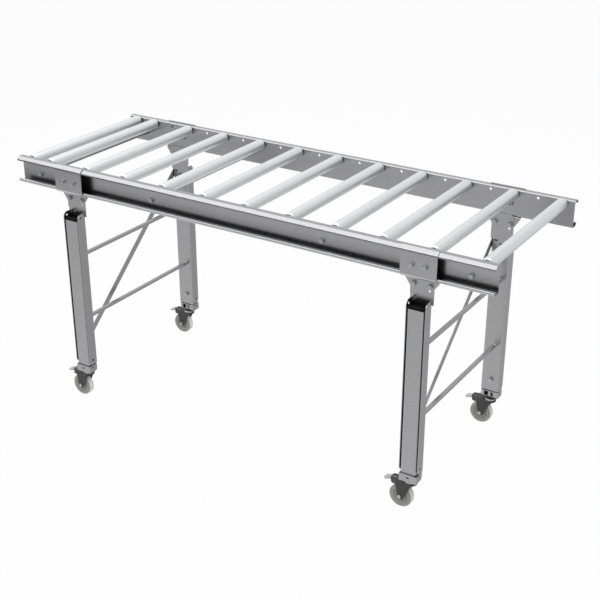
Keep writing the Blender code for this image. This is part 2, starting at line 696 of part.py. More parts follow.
def pedal_mesh():
    """A brake pedal: a barrel on the pin, a toe plate that falls away behind it and a nose above the tread."""
    barrel = PEDAL_BARREL_DIAMETER / 2
    nose = barrel * PEDAL_NOSE_SHARE
    corners = [
        (barrel, barrel),
        (-PEDAL_LENGTH, barrel - PEDAL_FALL),
        (-PEDAL_LENGTH, barrel - PEDAL_FALL - PEDAL_TIP),
        (-barrel - PEDAL_TIP, -barrel * PEDAL_BELLY_SHARE),
        (-nose, -PEDAL_NOSE),
        (nose, -PEDAL_NOSE),
        (barrel, -nose),
    ]
    tip = PEDAL_TIP * PEDAL_TIP_ROUNDING
    radii = [barrel * PEDAL_TOP_ROUNDING, tip, tip, 0, 0, 0, 0]
    outline = fillet(corners, radii, True)
    bore = circle((0, 0), PEDAL_PIN_DIAMETER / 2 + PIN_CLEARANCE, HOLE_SEGMENTS)
    return slab([outline, bore], -PEDAL_WIDTH / 2, PEDAL_WIDTH / 2, ALONG_Y)


def add_legs():
    """Bracket, channel, slider and caster at each corner."""
    bracket = bracket_mesh()
    channel = channel_mesh()
    slider = slider_mesh()
    slider.transform(Matrix.Translation((0, -STEM_PLANE, -FOOT_BOTTOM)))
    fork = fork_mesh()
    fork.transform(Matrix.Translation((0, 0, -FOOT_BOTTOM)))
    wheel = wheel_mesh()
    pedal = pedal_mesh()
    for side_name, side in SIDES.items():
        for end_name, station in LEG_STATIONS.items():
            corner = f"{side_name}_{end_name}"
            part(f"rail_bracket_{corner}", on_side(bracket, side), ZINC, (station, 0, 0))
            part(f"leg_channel_{corner}", on_side(channel, side), ZINC, (station, 0, 0))
            stem = Vector((station, side * STEM_PLANE, FOOT_BOTTOM))
            leg = part(f"leg_slider_{corner}", on_side(slider, side), ZINC, stem)
            swivel = part(f"caster_fork_{corner}", fork.copy(), BLACK, stem, leg)
            hub = (station - CASTER_TRAIL, side * STEM_PLANE, AXLE_LEVEL)
            part(f"caster_wheel_{corner}", wheel.copy(), POLYAMIDE, hub, swivel, smooth=True)
            pin = (station - PEDAL_PIN_BACK, side * STEM_PLANE, CROWN_TOP - PEDAL_PIN_DROP)
            part(f"brake_pedal_{corner}", pedal.copy(), PEDAL_GREY, pin, swivel)


def diagonal_mesh():
    """A flat strip with round ends and a bolt hole in each, leaning from low in front to high behind."""
    low = Vector((-FLANGE_HOLE_PLANE, CHANNEL_BOTTOM + FLANGE_HOLE_RISE))
    high = Vector((FLANGE_HOLE_PLANE, CHANNEL_TOP - FLANGE_HOLE_DROP))
    half = DIAGONAL_WIDTH / 2
    along = (high - low).normalized() * half
    aside = Vector((-along.y, along.x))
    corners = [low - along - aside, high + along - aside, high + along + aside, low - along + aside]
    outline = fillet(corners, [half * DIAGONAL_END_ROUNDING] * 4, True)
    holes = [circle(end, BOLT_DIAMETER / 2, HOLE_SEGMENTS) for end in (low, high)]
    face = -CHANNEL_WIDTH / 2 - SEAT_GAP
    return slab([outline] + holes, face - DIAGONAL_SHEET, face, ALONG_X)


def add_braces():
    """Two square bars and a diagonal strip between the front and rear legs of each pair."""
    end = LEG_WEB_INNER - SEAT_GAP
    corners = rectangle((-BRACE_WIDTH / 2, -BRACE_HEIGHT / 2), (BRACE_WIDTH / 2, BRACE_HEIGHT / 2))
    bar = slab([fillet(corners, [BRACE_CORNER_RADIUS] * 4, True)], -end, end, ALONG_Y)
    diagonal = diagonal_mesh()
    for end_name, station in LEG_STATIONS.items():
        for level_name, rise in (("upper", BRACE_UPPER_RISE), ("lower", BRACE_LOWER_RISE)):
            place = (station + BRACE_OFFSET, 0, CHANNEL_BOTTOM + rise)
            part(f"brace_{level_name}_{end_name}", bar.copy(), ZINC, place)
        part(f"brace_diagonal_{end_name}", diagonal.copy(), ZINC, (station, 0, 0))


add_rails_and_rollers()
add_legs()
add_braces()
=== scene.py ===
"""Looks of the roller table: fine sheet steel, rollers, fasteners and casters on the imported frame.

Metres, +Z up. X runs along the rails, front is -Y and left is -X. Corner pieces are drawn for the
rear of the table, where outwards is +Y, and mirrored for the front.
"""
from __future__ import annotations

import functools
import json
import logging
import math
from dataclasses import dataclass, replace
from enum import Enum
from typing import Any, Iterable, Iterator, Sequence

import bmesh
import bpy
from bmesh.types import BMesh, BMVert
from mathutils import Matrix, Vector

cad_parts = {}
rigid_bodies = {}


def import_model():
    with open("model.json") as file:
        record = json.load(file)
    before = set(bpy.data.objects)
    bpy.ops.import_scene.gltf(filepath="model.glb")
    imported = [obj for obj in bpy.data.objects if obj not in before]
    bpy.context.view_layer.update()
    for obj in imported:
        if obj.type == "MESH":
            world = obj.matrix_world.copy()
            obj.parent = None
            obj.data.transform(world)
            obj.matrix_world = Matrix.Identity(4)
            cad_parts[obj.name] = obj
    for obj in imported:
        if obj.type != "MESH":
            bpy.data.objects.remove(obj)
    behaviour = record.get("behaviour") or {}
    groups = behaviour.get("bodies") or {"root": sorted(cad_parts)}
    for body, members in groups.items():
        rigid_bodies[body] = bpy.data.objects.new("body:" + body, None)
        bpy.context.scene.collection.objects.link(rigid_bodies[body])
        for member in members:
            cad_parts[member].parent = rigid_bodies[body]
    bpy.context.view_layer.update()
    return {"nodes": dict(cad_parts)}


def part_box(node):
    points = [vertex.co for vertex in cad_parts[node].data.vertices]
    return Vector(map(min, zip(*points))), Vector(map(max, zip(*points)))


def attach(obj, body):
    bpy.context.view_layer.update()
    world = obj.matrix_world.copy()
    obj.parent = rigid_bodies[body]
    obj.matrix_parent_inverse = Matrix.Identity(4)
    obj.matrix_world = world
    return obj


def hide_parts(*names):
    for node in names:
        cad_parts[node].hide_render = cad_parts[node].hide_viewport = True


for stale in list(bpy.data.objects):
    bpy.data.objects.remove(stale)
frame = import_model()

LOG = logging.getLogger("roller_table")
Point = tuple[float, float]
Inputs = dict[Any, Any]

# Facets of bends, rims, edges, holes, rods, wheels and round shoulders
BEND_STEPS = 8
RIM_STEPS = 3
EDGE_STEPS = 2
HOLE_STEPS = 24
ROD_STEPS = 32
DRUM_STEPS = 72
SHOULDER_STEPS = 4
HEX_SIDES = 6
# A cone of four sides, and the radius at which they are 1 long
SQUARE_SIDES = 4
SQUARE_RADIUS = math.sqrt(0.5)
# A face with more corners than this is split
QUAD = 4
# The angle past which an edge stays sharp
SHARP_ANGLE = math.radians(32)
# Vertices this close are one
WELD = 0.000001
# Sockets of a Mix node that mixes colours: the factor, both colours and the result
MIX_FACTOR, MIX_FIRST, MIX_SECOND, MIX_RESULT = 0, 6, 7, 2
MM_PER_M = 1000
# The body of all that neither turns nor slides
FRAME = "frame"


class Axis(Enum):
    """The direction a flat drawing is given depth in, with the turn that lays the drawing there."""

    X = ((0, 0, 1), (1, 0, 0), (0, 1, 0))
    Y = ((1, 0, 0), (0, 0, -1), (0, 1, 0))
    Z = ((1, 0, 0), (0, 1, 0), (0, 0, 1))

    @property
    def turn(self) -> Matrix:
        """Turn from the drawing's plane into the frame."""
        return Matrix(self.value).to_4x4()


class Word(Enum):
    """A choice whose name is a word in the nodes' names."""

    @property
    def label(self) -> str:
        """The choice as it is written in a node's name."""
        return self.name.lower()


class Side(Word):
    """Front and rear of the table, by the sign of Y."""

    FRONT = -1
    REAR = 1


class End(Word):
    """Left and right end of the table, by the sign of X."""

    LEFT = -1
    RIGHT = 1


@dataclass(frozen=True)
class Corner:
    """One corner of the table."""

    side: Side
    end: End

    @property
    def label(self) -> str:
        """The corner's words in a node's name."""
        return f"{self.side.label}_{self.end.label}"

    @property
    def outwards(self) -> Vector:
        """The direction that leads out of the table, across the rails."""
        return Vector((0, self.side.value, 0))


def corners() -> Iterator[Corner]:
    """Go round the four corners.

    Returns:
        Each corner, front before rear and left before right.
    """
    for side in Side:
        for end in End:
            yield Corner(side, end)


class Slot(Enum):
    """The record's material slots, by what is made of them."""

    SHEET = "zinc_sheet"
    TUBE = "zinc_tube"
    BAR = "steel_rod"
    FORK = "black_fork"
    WHEEL = "grey_polyamide"
    PEDAL = "grey_pedal"


class Joining(Enum):
    """What a tool does to a shape."""

    CUT = "DIFFERENCE"
    UNITE = "UNION"


class Pattern(Enum):
    """What breaks up a surface: zinc crystals, or a grain that a stretch turns to lines."""

    SPANGLE = ("ShaderNodeTexVoronoi", 1)
    GRAIN = ("ShaderNodeTexNoise", 0)


def linear(code: str) -> tuple[float, float, float, float]:
    """Turn an sRGB hex colour to linear.

    Args:
        code: six hex digits.

    Returns:
        Red, green, blue and an alpha of 1.
    """
    parts = [int(code[start:start + 2], 16) / 255 for start in (0, 2, 4)]
    red, green, blue = (
        part / 12.92 if part <= 0.04045 else ((part + 0.055) / 1.055) ** 2.4
        for part in parts
    )
    return red, green, blue, 1.0


def add_node(
    tree: bpy.types.NodeTree, kind: str, inputs: Inputs | None = None, **settings: Any
) -> bpy.types.Node:
    """Add a node with its settings, its values and its links.

    Args:
        tree: the tree that takes the node.
        kind: the node's type.
        inputs: socket name or number to a value, or to the output socket it is linked from.
        settings: attributes of the node itself.

    Returns:
        The new node.
    """
    node = tree.nodes.new(kind)
    for name, value in settings.items():
        setattr(node, name, value)
    for key, value in (inputs or {}).items():
        if isinstance(value, bpy.types.NodeSocket):
            tree.links.new(value, node.inputs[key])
        else:
            node.inputs[key].default_value = value
    return node


@dataclass(frozen=True)
class Dust:
    """Painted shade on the outer face of the rails' webs, inside the channel: darker from an unshaded level
    down to the darkest level.
    """

    clean_level: float = 0.784
    thick_level: float = 0.735
    keep: float = 0.56
    middle: float = 0.2690
    half_width: float = 0.0015
    fade: float = 0.0015

    def over(self, tree: bpy.types.NodeTree, place: bpy.types.NodeSocket) -> bpy.types.NodeSocket:
        """Work out how much of the colour stays, by the level and only near the web's outer face.

        Args:
            tree: the material's tree.
            place: Object coordinates.

        Returns:
            A factor that is 1 where no shade is painted.
        """
        parts = add_node(tree, "ShaderNodeSeparateXYZ", {0: place}).outputs
        levels = {
            "Value": parts["Z"],
            "From Min": self.thick_level,
            "From Max": self.clean_level,
            "To Min": self.keep,
        }
        fall = add_node(tree, "ShaderNodeMapRange", levels, interpolation_type="SMOOTHSTEP").outputs[0]
        outwards = add_node(tree, "ShaderNodeMath", {0: parts["Y"]}, operation="ABSOLUTE").outputs[0]
        places = {0: outwards, 1: self.middle}
        across = add_node(tree, "ShaderNodeMath", places, operation="SUBTRACT").outputs[0]
        off = add_node(tree, "ShaderNodeMath", {0: across}, operation="ABSOLUTE").outputs[0]
        sides = {"Value": off, "From Min": self.half_width, "From Max": self.half_width + self.fade}
        clear = add_node(tree, "ShaderNodeMapRange", sides).outputs[0]
        return add_node(tree, "ShaderNodeMath", {0: fall, 1: clear}, operation="MAXIMUM").outputs[0]


@dataclass(frozen=True)
class Finish:
    """A real material: its slot and colours, how it was made and the pattern that this leaves."""

    name: str
    slot: Slot
    light: str
    dark: str
    metallic: float
    roughness: tuple[float, float]
    pattern: Pattern
    grain_mm: float
    cloud_mm: float
    bump_mm: float
    stretch: tuple[float, float, float] = (1, 1, 1)
    dust: Dust | None = None
    gloss: float = 0.5
    cloud_detail: float = 3.0

    @functools.cached_property
    def material(self) -> bpy.types.Material:
        """Make the finish a node material, once.

        Returns:
            The material that all pieces of this finish share.
        """
        material = bpy.data.materials.new(self.name)
        material.use_nodes = True
        tree = material.node_tree
        shader = tree.nodes["Principled BSDF"]
        shader.inputs["Metallic"].default_value = self.metallic
        shader.inputs["Specular IOR Level"].default_value = self.gloss
        place = add_node(tree, "ShaderNodeTexCoord").outputs["Object"]
        kind, output = self.pattern.value
        scale = [MM_PER_M / self.grain_mm / length for length in self.stretch]
        grain_place = add_node(tree, "ShaderNodeMapping", {"Vector": place, "Scale": scale}).outputs["Vector"]
        grain = add_node(tree, kind, {"Vector": grain_place, "Scale": 1.0}).outputs[output]
        clouds = {"Vector": place, "Scale": MM_PER_M / self.cloud_mm, "Detail": self.cloud_detail}
        cloud = add_node(tree, "ShaderNodeTexNoise", clouds).outputs[0]
        colours = {MIX_FACTOR: grain, MIX_FIRST: linear(self.dark), MIX_SECOND: linear(self.light)}
        tone = add_node(tree, "ShaderNodeMix", colours, data_type="RGBA").outputs[MIX_RESULT]
        # Painted shade: the colour darkens towards the bottom of the rails' channel, near the web's outer
        # face
        if self.dust:
            shaded_tone = {0: tone, "Scale": self.dust.over(tree, place)}
            tone = add_node(tree, "ShaderNodeVectorMath", shaded_tone, operation="SCALE").outputs[0]
        low, high = self.roughness
        sheen = {"Value": cloud, "To Min": low, "To Max": high}
        rough = add_node(tree, "ShaderNodeMapRange", sheen).outputs[0]
        heights = {"Height": grain, "Distance": self.bump_mm / MM_PER_M}
        relief = add_node(tree, "ShaderNodeBump", heights).outputs[0]
        for socket, value in (("Base Color", tone), ("Roughness", rough), ("Normal", relief)):
            tree.links.new(value, shader.inputs[socket])
        return material


# Plating, drawing and moulding leave a grain finer than a pixel.
# It is drawn 1 to 2 mm wide here, so that it shows.

# Cold-rolled sheet, zinc plated: an even mid grey with faint crystals, and soft blurred reflections
ZINC_SHEET = Finish(
    "zinc_plated_sheet", Slot.SHEET, "9C9C9D", "98989A", 1.0, (0.24, 0.32), Pattern.SPANGLE, 6.0, 60.0, 0.0008
)
# The same sheet as rolled for the rails, with painted shade inside the channel, which darkens towards the
# bottom
RAIL_ZINC_SHADED = replace(ZINC_SHEET, name="zinc_plated_rail", dust=Dust())
# Welded tube, bright zinc plated: nearly white, with faint lines round the tube from polishing
ROLLER_TUBE = Finish(
    "bright_zinc_tube", Slot.TUBE, "D2D3D4", "CCCDCF", 1.0, (0.40, 0.50), Pattern.GRAIN, 2.0, 90.0, 0.003,
    stretch=(30, 1, 30),
)
# Drawn round bar, zinc plated: darker than sheet, with lines along the bar
DRAWN_BAR = Finish(
    "drawn_steel_bar", Slot.BAR, "939496", "85868A", 1.0, (0.34, 0.44), Pattern.GRAIN, 1.5, 50.0, 0.004,
    stretch=(1, 40, 1),
)
# Cold-headed bolts, zinc plated: close to the sheet, with a dull grain that breaks up their highlights
BOLT_ZINC = Finish(
    "zinc_plated_bolt", Slot.SHEET, "A8A9AA", "999A9D", 1.0, (0.30, 0.40), Pattern.GRAIN, 1.2, 8.0, 0.01
)
# Bearing steel and dust caps: dark and satin
BEARING_STEEL = Finish(
    "bearing_steel", Slot.BAR, "6E6F72", "616265", 1.0, (0.34, 0.44), Pattern.GRAIN, 1.0, 10.0, 0.004
)
# Fork of glass-filled polyamide, moulded black: matt with a fine sparkle of grain
BLACK_POLYAMIDE = Finish(
    "black_polyamide", Slot.FORK, "2B2B2C", "232324", 0.0, (0.42, 0.55), Pattern.GRAIN, 1.5, 15.0, 0.02
)
# Plugs of soft rubber, moulded: black and dull; the near-black colour is also painted shade for the dark
# inside of the leg's top
PLUG_RUBBER_AND_SHADE = Finish(
    "black_seal_rubber", Slot.FORK, "161616", "101010", 0.0, (0.70, 0.85), Pattern.GRAIN, 1.5, 12.0, 0.02,
    gloss=0.1,
)
# Wheel core of grey polyamide, moulded: even, satin
GREY_POLYAMIDE = Finish(
    "grey_polyamide", Slot.WHEEL, "A0A09E", "979795", 0.0, (0.45, 0.55), Pattern.GRAIN, 1.5, 20.0, 0.015
)
# Tread, moulded on the core: paler and duller than the core; its near-white colour is painted light, the
# running surface lit brighter than the grey core
TREAD_PAINTED_LIGHT = Finish(
    "grey_tread_rubber", Slot.WHEEL, "EEEEEC", "E8E8E6", 0.0, (0.60, 0.72), Pattern.GRAIN, 1.2, 25.0, 0.02
)
# Pedal of pale grey polyamide, moulded with a fine grain
PEDAL_POLYAMIDE = Finish(
    "pale_pedal_polyamide", Slot.PEDAL, "CDCDCB", "C4C4C2", 0.0, (0.45, 0.55), Pattern.GRAIN, 1.2, 15.0, 0.015
)


@dataclass(frozen=True)
class Box:
    """A node's extent at rest."""

    low: Vector
    high: Vector

    @classmethod
    def of(cls, node: str) -> Box:
        """Read a node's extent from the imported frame."""
        return cls(*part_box(node))

    @property
    def centre(self) -> Vector:
        """The middle of the extent."""
        return (self.low + self.high) / 2

    @property
    def size(self) -> Vector:
        """The extent's three lengths."""
        return self.high - self.low


def closed(shape: BMesh) -> BMesh:
    """Weld a shape's seams and point its faces outwards.

    Args:
        shape: the shape to work on.

    Returns:
        The same shape.
    """
    bmesh.ops.remove_doubles(shape, verts=shape.verts, dist=WELD)
    bmesh.ops.dissolve_degenerate(shape, dist=WELD, edges=shape.edges)
    bmesh.ops.recalc_face_normals(shape, faces=shape.faces)
    return shape


def moved(shape: BMesh, matrix: Matrix) -> BMesh:
    """Move a shape's vertices by a matrix."""
    bmesh.ops.transform(shape, matrix=matrix, verts=shape.verts)
    return shape


def on_side(shape: BMesh, side: Side) -> BMesh:
    """Mirror a shape that is drawn for the rear, if it goes to the front.

    Args:
        shape: the shape to work on.
        side: where it goes.

    Returns:
        The same shape.
    """
    if side is Side.FRONT:
        moved(shape, Matrix.Diagonal((1, -1, 1, 1)))
        bmesh.ops.reverse_faces(shape, faces=shape.faces)
    return shape


def at_corner(shape: BMesh, corner: Corner, station: float) -> BMesh:
    """Copy a shape that is drawn for the rear, about X = 0, to a corner."""
    return moved(on_side(shape.copy(), corner.side), Matrix.Translation((station, 0, 0)))


def bevelled(shape: BMesh, geom: Sequence[Any], width: float, steps: int, affect: str = "EDGES") -> None:
    """Round some of a shape's edges or corners.

    Args:
        shape: the shape to work on.
        geom: the edges, or the corners.
        width: how far they are cut back.
        steps: the facets of the round.
        affect: EDGES or VERTICES.
    """
    bmesh.ops.bevel(
        shape, geom=geom, offset=width, segments=steps, profile=0.5, affect=affect, material=-1
    )


def fold(
    path: Sequence[Point],
    radii: Sequence[float],
    sheet: float,
    axis: Axis,
    low: float,
    high: float,
    rim: float = 0.0,
) -> BMesh:
    """Fold a strip of sheet along a drawn path of square corners.

    Args:
        path: the path's points across and up the drawing.
        radii: the bend radius at each inner point.
        sheet: the thickness, laid to the left of the path.
        axis: the direction the strip runs in.
        low: where the strip starts.
        high: where it ends.
        rim: how far the strip's long edges are rounded, none by default.

    Returns:
        A closed shape with round bends.
    """
    shape = bmesh.new()
    line = [shape.verts.new((across, up, low)) for across, up in path]
    edges = [shape.edges.new(pair) for pair in zip(line, line[1:])]
    grown = bmesh.ops.extrude_edge_only(shape, edges=edges)["geom"]
    far = [item for item in grown if isinstance(item, BMVert)]
    bmesh.ops.translate(shape, verts=far, vec=(0, 0, high - low))
    for corner, radius in zip(path[1:-1], radii):
        crease = [
            edge
            for edge in shape.edges
            if all((vert.co.xy - Vector(corner)).length < WELD for vert in edge.verts)
        ]
        bevelled(shape, crease, radius, BEND_STEPS)
    bmesh.ops.solidify(shape, geom=shape.faces[:], thickness=-sheet)
    closed(shape)
    if rim > 0:
        ends = [Vector(path[0]), Vector(path[-1])]
        rims = [
            edge
            for edge in shape.edges
            if (edge.verts[0].co.xy - edge.verts[1].co.xy).length < WELD
            and any((edge.verts[0].co.xy - end).length < sheet + WELD for end in ends)
        ]
        bevelled(shape, rims, rim, RIM_STEPS)
    return moved(closed(shape), axis.turn)


def prism(
    outline: Sequence[Point], axis: Axis, low: float, high: float, radii: Sequence[float] = ()
) -> BMesh:
    """Give depth to a flat outline.

    Args:
        outline: the corners across and up the drawing.
        axis: the direction of the depth.
        low: where it starts.
        high: where it ends.
        radii: how far each corner is cut back to round it, none by default.

    Returns:
        A closed shape.
    """
    shape = bmesh.new()
    points = [shape.verts.new((across, up, low)) for across, up in outline]
    shape.faces.new(points)
    for corner, radius in zip(points, radii):
        if radius > 0:
            bevelled(shape, [corner], radius, BEND_STEPS, "VERTICES")
    grown = bmesh.ops.extrude_face_region(shape, geom=shape.faces[:])["geom"]
    top = [item for item in grown if isinstance(item, BMVert)]
    bmesh.ops.translate(shape, verts=top, vec=(0, 0, high - low))
    return moved(closed(shape), axis.turn)


def rectangle(low: Point, high: Point) -> list[Point]:
    """Corners of a rectangle between two points."""
    return [(low[0], low[1]), (high[0], low[1]), (high[0], high[1]), (low[0], high[1])]


def drill(places: Iterable[Point], radius: float, axis: Axis, low: float, high: float) -> BMesh:
    """Make the drills for a set of round holes.

    Args:
        places: the holes' middles across and up the drawing.
        radius: the holes' radius.
        axis: the direction they are drilled in.
        low: where the drills start.
        high: where they end.

    Returns:
        One cylinder for each hole.
    """
    shape = bmesh.new()
    for across, up in places:
        bmesh.ops.create_cone(
            shape,
            cap_ends=True,
            segments=HOLE_STEPS,
            radius1=radius,
            radius2=radius,
            depth=high - low,
            matrix=axis.turn @ Matrix.Translation((across, up, (low + high) / 2)),
        )
    return shape


def spun(profile: Sequence[Point], steps: int, axis: Axis = Axis.Z) -> BMesh:
    """Turn a profile about an axis through the origin.

    Args:
        profile: radius and height of each point; it closes on itself unless it starts and ends on the axis.
        steps: the number of facets round the axis.
        axis: the axis; a height counts outwards along X, Y or Z.

    Returns:
        A closed shape.
    """
    shape = bmesh.new()
    line = [shape.verts.new((radius, 0, height)) for radius, height in profile]
    edges = [shape.edges.new(pair) for pair in zip(line, line[1:])]
    if profile[0][0] > 0:
        edges.append(shape.edges.new((line[-1], line[0])))
    bmesh.ops.spin(
        shape,
        geom=line + edges,
        cent=(0, 0, 0),
        axis=(0, 0, 1),
        angle=2 * math.pi,
        steps=steps,
        use_merge=True,
    )
    turns = {Axis.X: ("Y", 1), Axis.Y: ("X", -1), Axis.Z: ("Z", 0)}
    about, quarter = turns[axis]
    return moved(closed(shape), Matrix.Rotation(quarter * math.pi / 2, 4, about))


def mirrored(half: Sequence[Point]) -> list[Point]:
    """Finish a profile with its own mirror image across the middle."""
    return [*half, *((radius, -height) for radius, height in reversed(half))]


def shoulder(radius: float, end: float, edge: float) -> list[Point]:
    """Work out a profile's round edge, from an end face to a rim.

    Args:
        radius: the rim's radius.
        end: the end face's height.
        edge: the radius of the round.

    Returns:
        Radius and height of each point.
    """
    turns = [step / SHOULDER_STEPS * math.pi / 2 for step in range(SHOULDER_STEPS + 1)]
    return [(radius - edge * (1 - math.sin(turn)), end - edge * (1 - math.cos(turn))) for turn in turns]


def rod(
    radius: float, low: float, high: float, chamfer: float, steps: int = ROD_STEPS, axis: Axis = Axis.Y
) -> BMesh:
    """Turn a plain bar with chamfered ends.

    Args:
        radius: the bar's radius.
        low: where it starts along its axis.
        high: where it ends.
        chamfer: the width of the chamfer at each end.
        steps: facets round the bar.
        axis: the bar's direction.

    Returns:
        A closed shape.
    """
    neck = radius - chamfer
    start = [(0, low), (neck, low), (radius, low + chamfer)]
    end = [(radius, high - chamfer), (neck, high), (0, high)]
    return spun(start + end, steps, axis)


def block(low: Sequence[float], high: Sequence[float]) -> BMesh:
    """Make a plain block between two corners.

    Args:
        low: the corner at the low end of all three axes.
        high: the opposite corner.

    Returns:
        A closed shape.
    """
    shape = bmesh.new()
    start, end = Vector(low), Vector(high)
    size = Matrix.Diagonal((*(end - start), 1))
    bmesh.ops.create_cube(shape, size=1, matrix=Matrix.Translation((start + end) / 2) @ size)
    return shape


def added(shape: BMesh, *others: BMesh) -> BMesh:
    """Lay further closed shapes beside a shape, in one mesh.

    Args:
        shape: the shape to add to.
        others: what is added; it is used up.

    Returns:
        The same shape.
    """
    for other in others:
        spare = bpy.data.meshes.new("spare")
        other.to_mesh(spare)
        other.free()
        shape.from_mesh(spare)
        bpy.data.meshes.remove(spare)
    return shape


def combined(shape: BMesh, tools: Sequence[BMesh], joining: Joining) -> BMesh:
    """Cut tools out of a shape, or unite them with it.

    Args:
        shape: the shape to work on; it is used up.
        tools: closed shapes, one Boolean each; they are used up.
        joining: what the tools do to the shape.

    Returns:
        The new shape.
    """
    helpers = []
    for index, source in enumerate([shape, *tools]):
        mesh = bpy.data.meshes.new(f"helper_{index}")
        source.to_mesh(mesh)
        source.free()
        helper = bpy.data.objects.new(f"helper_{index}", mesh)
        bpy.context.scene.collection.objects.link(helper)
        helpers.append(helper)
    body = helpers[0]
    for helper in helpers[1:]:
        boolean = body.modifiers.new("combine", "BOOLEAN")
        boolean.operation = joining.value
        boolean.solver = "EXACT"
        boolean.object = helper
    bpy.context.view_layer.update()
    made = bmesh.new()
    made.from_object(body, bpy.context.evaluated_depsgraph_get())
    for helper in helpers:
        spent = helper.data
        bpy.data.objects.remove(helper)
        bpy.data.meshes.remove(spent)
    closed(made)
    bmesh.ops.triangulate(made, faces=[face for face in made.faces if len(face.verts) > QUAD])
    return made


def cut(shape: BMesh, *tools: BMesh) -> BMesh:
    """Cut tools out of a shape."""
    return combined(shape, tools, Joining.CUT)


def united(shape: BMesh, *tools: BMesh) -> BMesh:
    """Unite a shape with others."""
    return combined(shape, tools, Joining.UNITE)


def corner_tool(
    corner: Point, outward: tuple[int, int], radius: float, axis: Axis, low: float, high: float
) -> BMesh:
    """Make the tool that rounds one corner of a shape.

    Args:
        corner: the corner across and up the drawing.
        outward: the signs of the two directions that lead out of the shape.
        radius: the radius to leave.
        axis: the direction of the tool's depth.
        low: where the depth starts.
        high: where it ends.

    Returns:
        The part outside the round.
    """
    centre = tuple(place - sign * radius for place, sign in zip(corner, outward))
    past = tuple(place + sign * radius for place, sign in zip(corner, outward))
    square = rectangle(tuple(map(min, centre, past)), tuple(map(max, centre, past)))
    return cut(prism(square, axis, low, high), drill([centre], radius, axis, low - radius, high + radius))


def show(
    name: str, shape: BMesh, finish: Finish, body: str = FRAME, node: str = "", edge: float = 0.0
) -> None:
    """Make a finished piece of a shape, and let it ride on a body.

    Args:
        name: the piece's name.
        shape: the piece in its place; it is used up.
        finish: what it is made of.
        body: the body that it moves with.
        node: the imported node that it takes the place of, none by default.
        edge: the width of the rounding on its sharp edges, none by default.
    """
    mesh = bpy.data.meshes.new(name)
    shape.to_mesh(mesh)
    shape.free()
    mesh.shade_smooth()
    mesh.set_sharp_from_angle(angle=SHARP_ANGLE)
    mesh.materials.append(finish.material)
    piece = bpy.data.objects.new(name, mesh)
    bpy.context.scene.collection.objects.link(piece)
    if edge > 0:
        rounding = piece.modifiers.new("rounded_edges", "BEVEL")
        rounding.width = edge
        rounding.segments = EDGE_STEPS
        rounding.limit_method = "ANGLE"
        rounding.angle_limit = SHARP_ANGLE
    even = piece.modifiers.new("even_shading", "WEIGHTED_NORMAL")
    even.keep_sharp = True
    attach(piece, body)
    if node:
        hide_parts(node)
    LOG.info("%s: %d faces on %s", name, len(mesh.polygons), body)


@dataclass(frozen=True)
class HexBolt:
    """A hexagon bolt on its washer, drawn along +Z with the seat at the origin."""

    flats: float = 0.013
    head: float = 0.0064
    washer: float = 0.0080
    washer_sheet: float = 0.0013
    washer_edge: float = 0.0002
    shank: float = 0.0038
    chamfer: float = 0.0005
    nut: float = 0.0065

    def hexagon(self, low: float, high: float) -> BMesh:
        """Draw a hexagon with chamfered rims, as a head or a nut is.

        Args:
            low: where it starts.
            high: where it ends.

        Returns:
            A closed shape.
        """
        shape = bmesh.new()
        radius = self.flats / math.sqrt(3)
        middle = Matrix.Translation((0, 0, (low + high) / 2))
        bmesh.ops.create_cone(
            shape,
            cap_ends=True,
            segments=HEX_SIDES,
            radius1=radius,
            radius2=radius,
            depth=high - low,
            matrix=middle,
        )
        rims = [edge for edge in shape.edges if abs(edge.verts[0].co.z - edge.verts[1].co.z) < WELD]
        bevelled(shape, rims, self.chamfer, EDGE_STEPS)
        return shape

    def ring(self, low: float) -> BMesh:
        """Turn the washer, lying on a level.

        Args:
            low: the level.

        Returns:
            A closed shape.
        """
        high = low + self.washer_sheet
        soft = self.washer_edge
        rim = [(self.washer, low), (self.washer, high - soft), (self.washer - soft, high)]
        return spun([(self.shank, low), *rim, (self.shank, high)], ROD_STEPS)

    def shape(self, reach: float, nut_at: float = 0.0) -> BMesh:
        """Draw the bolt.

        Args:
            reach: how far the shank goes below the seat.
            nut_at: how far below the seat a nut lies against the far side, none at 0.

        Returns:
            Head, washer and shank, and the nut with its washer.
        """
        top = self.washer_sheet + self.head
        made = self.hexagon(self.washer_sheet, top)
        added(made, self.ring(0), rod(self.shank, -reach, self.washer_sheet, self.chamfer, axis=Axis.Z))
        if nut_at > 0:
            seat = -nut_at - self.washer_sheet
            added(made, self.ring(seat), self.hexagon(seat - self.nut, seat))
        return made

    def placed(self, at: Vector, along: Vector, reach: float, nut_at: float = 0.0) -> BMesh:
        """Draw the bolt with its seat at a point and its head pointing along a direction."""
        turn = Vector((0, 0, 1)).rotation_difference(along).to_matrix().to_4x4()
        return moved(self.shape(reach, nut_at), Matrix.Translation(at) @ turn)


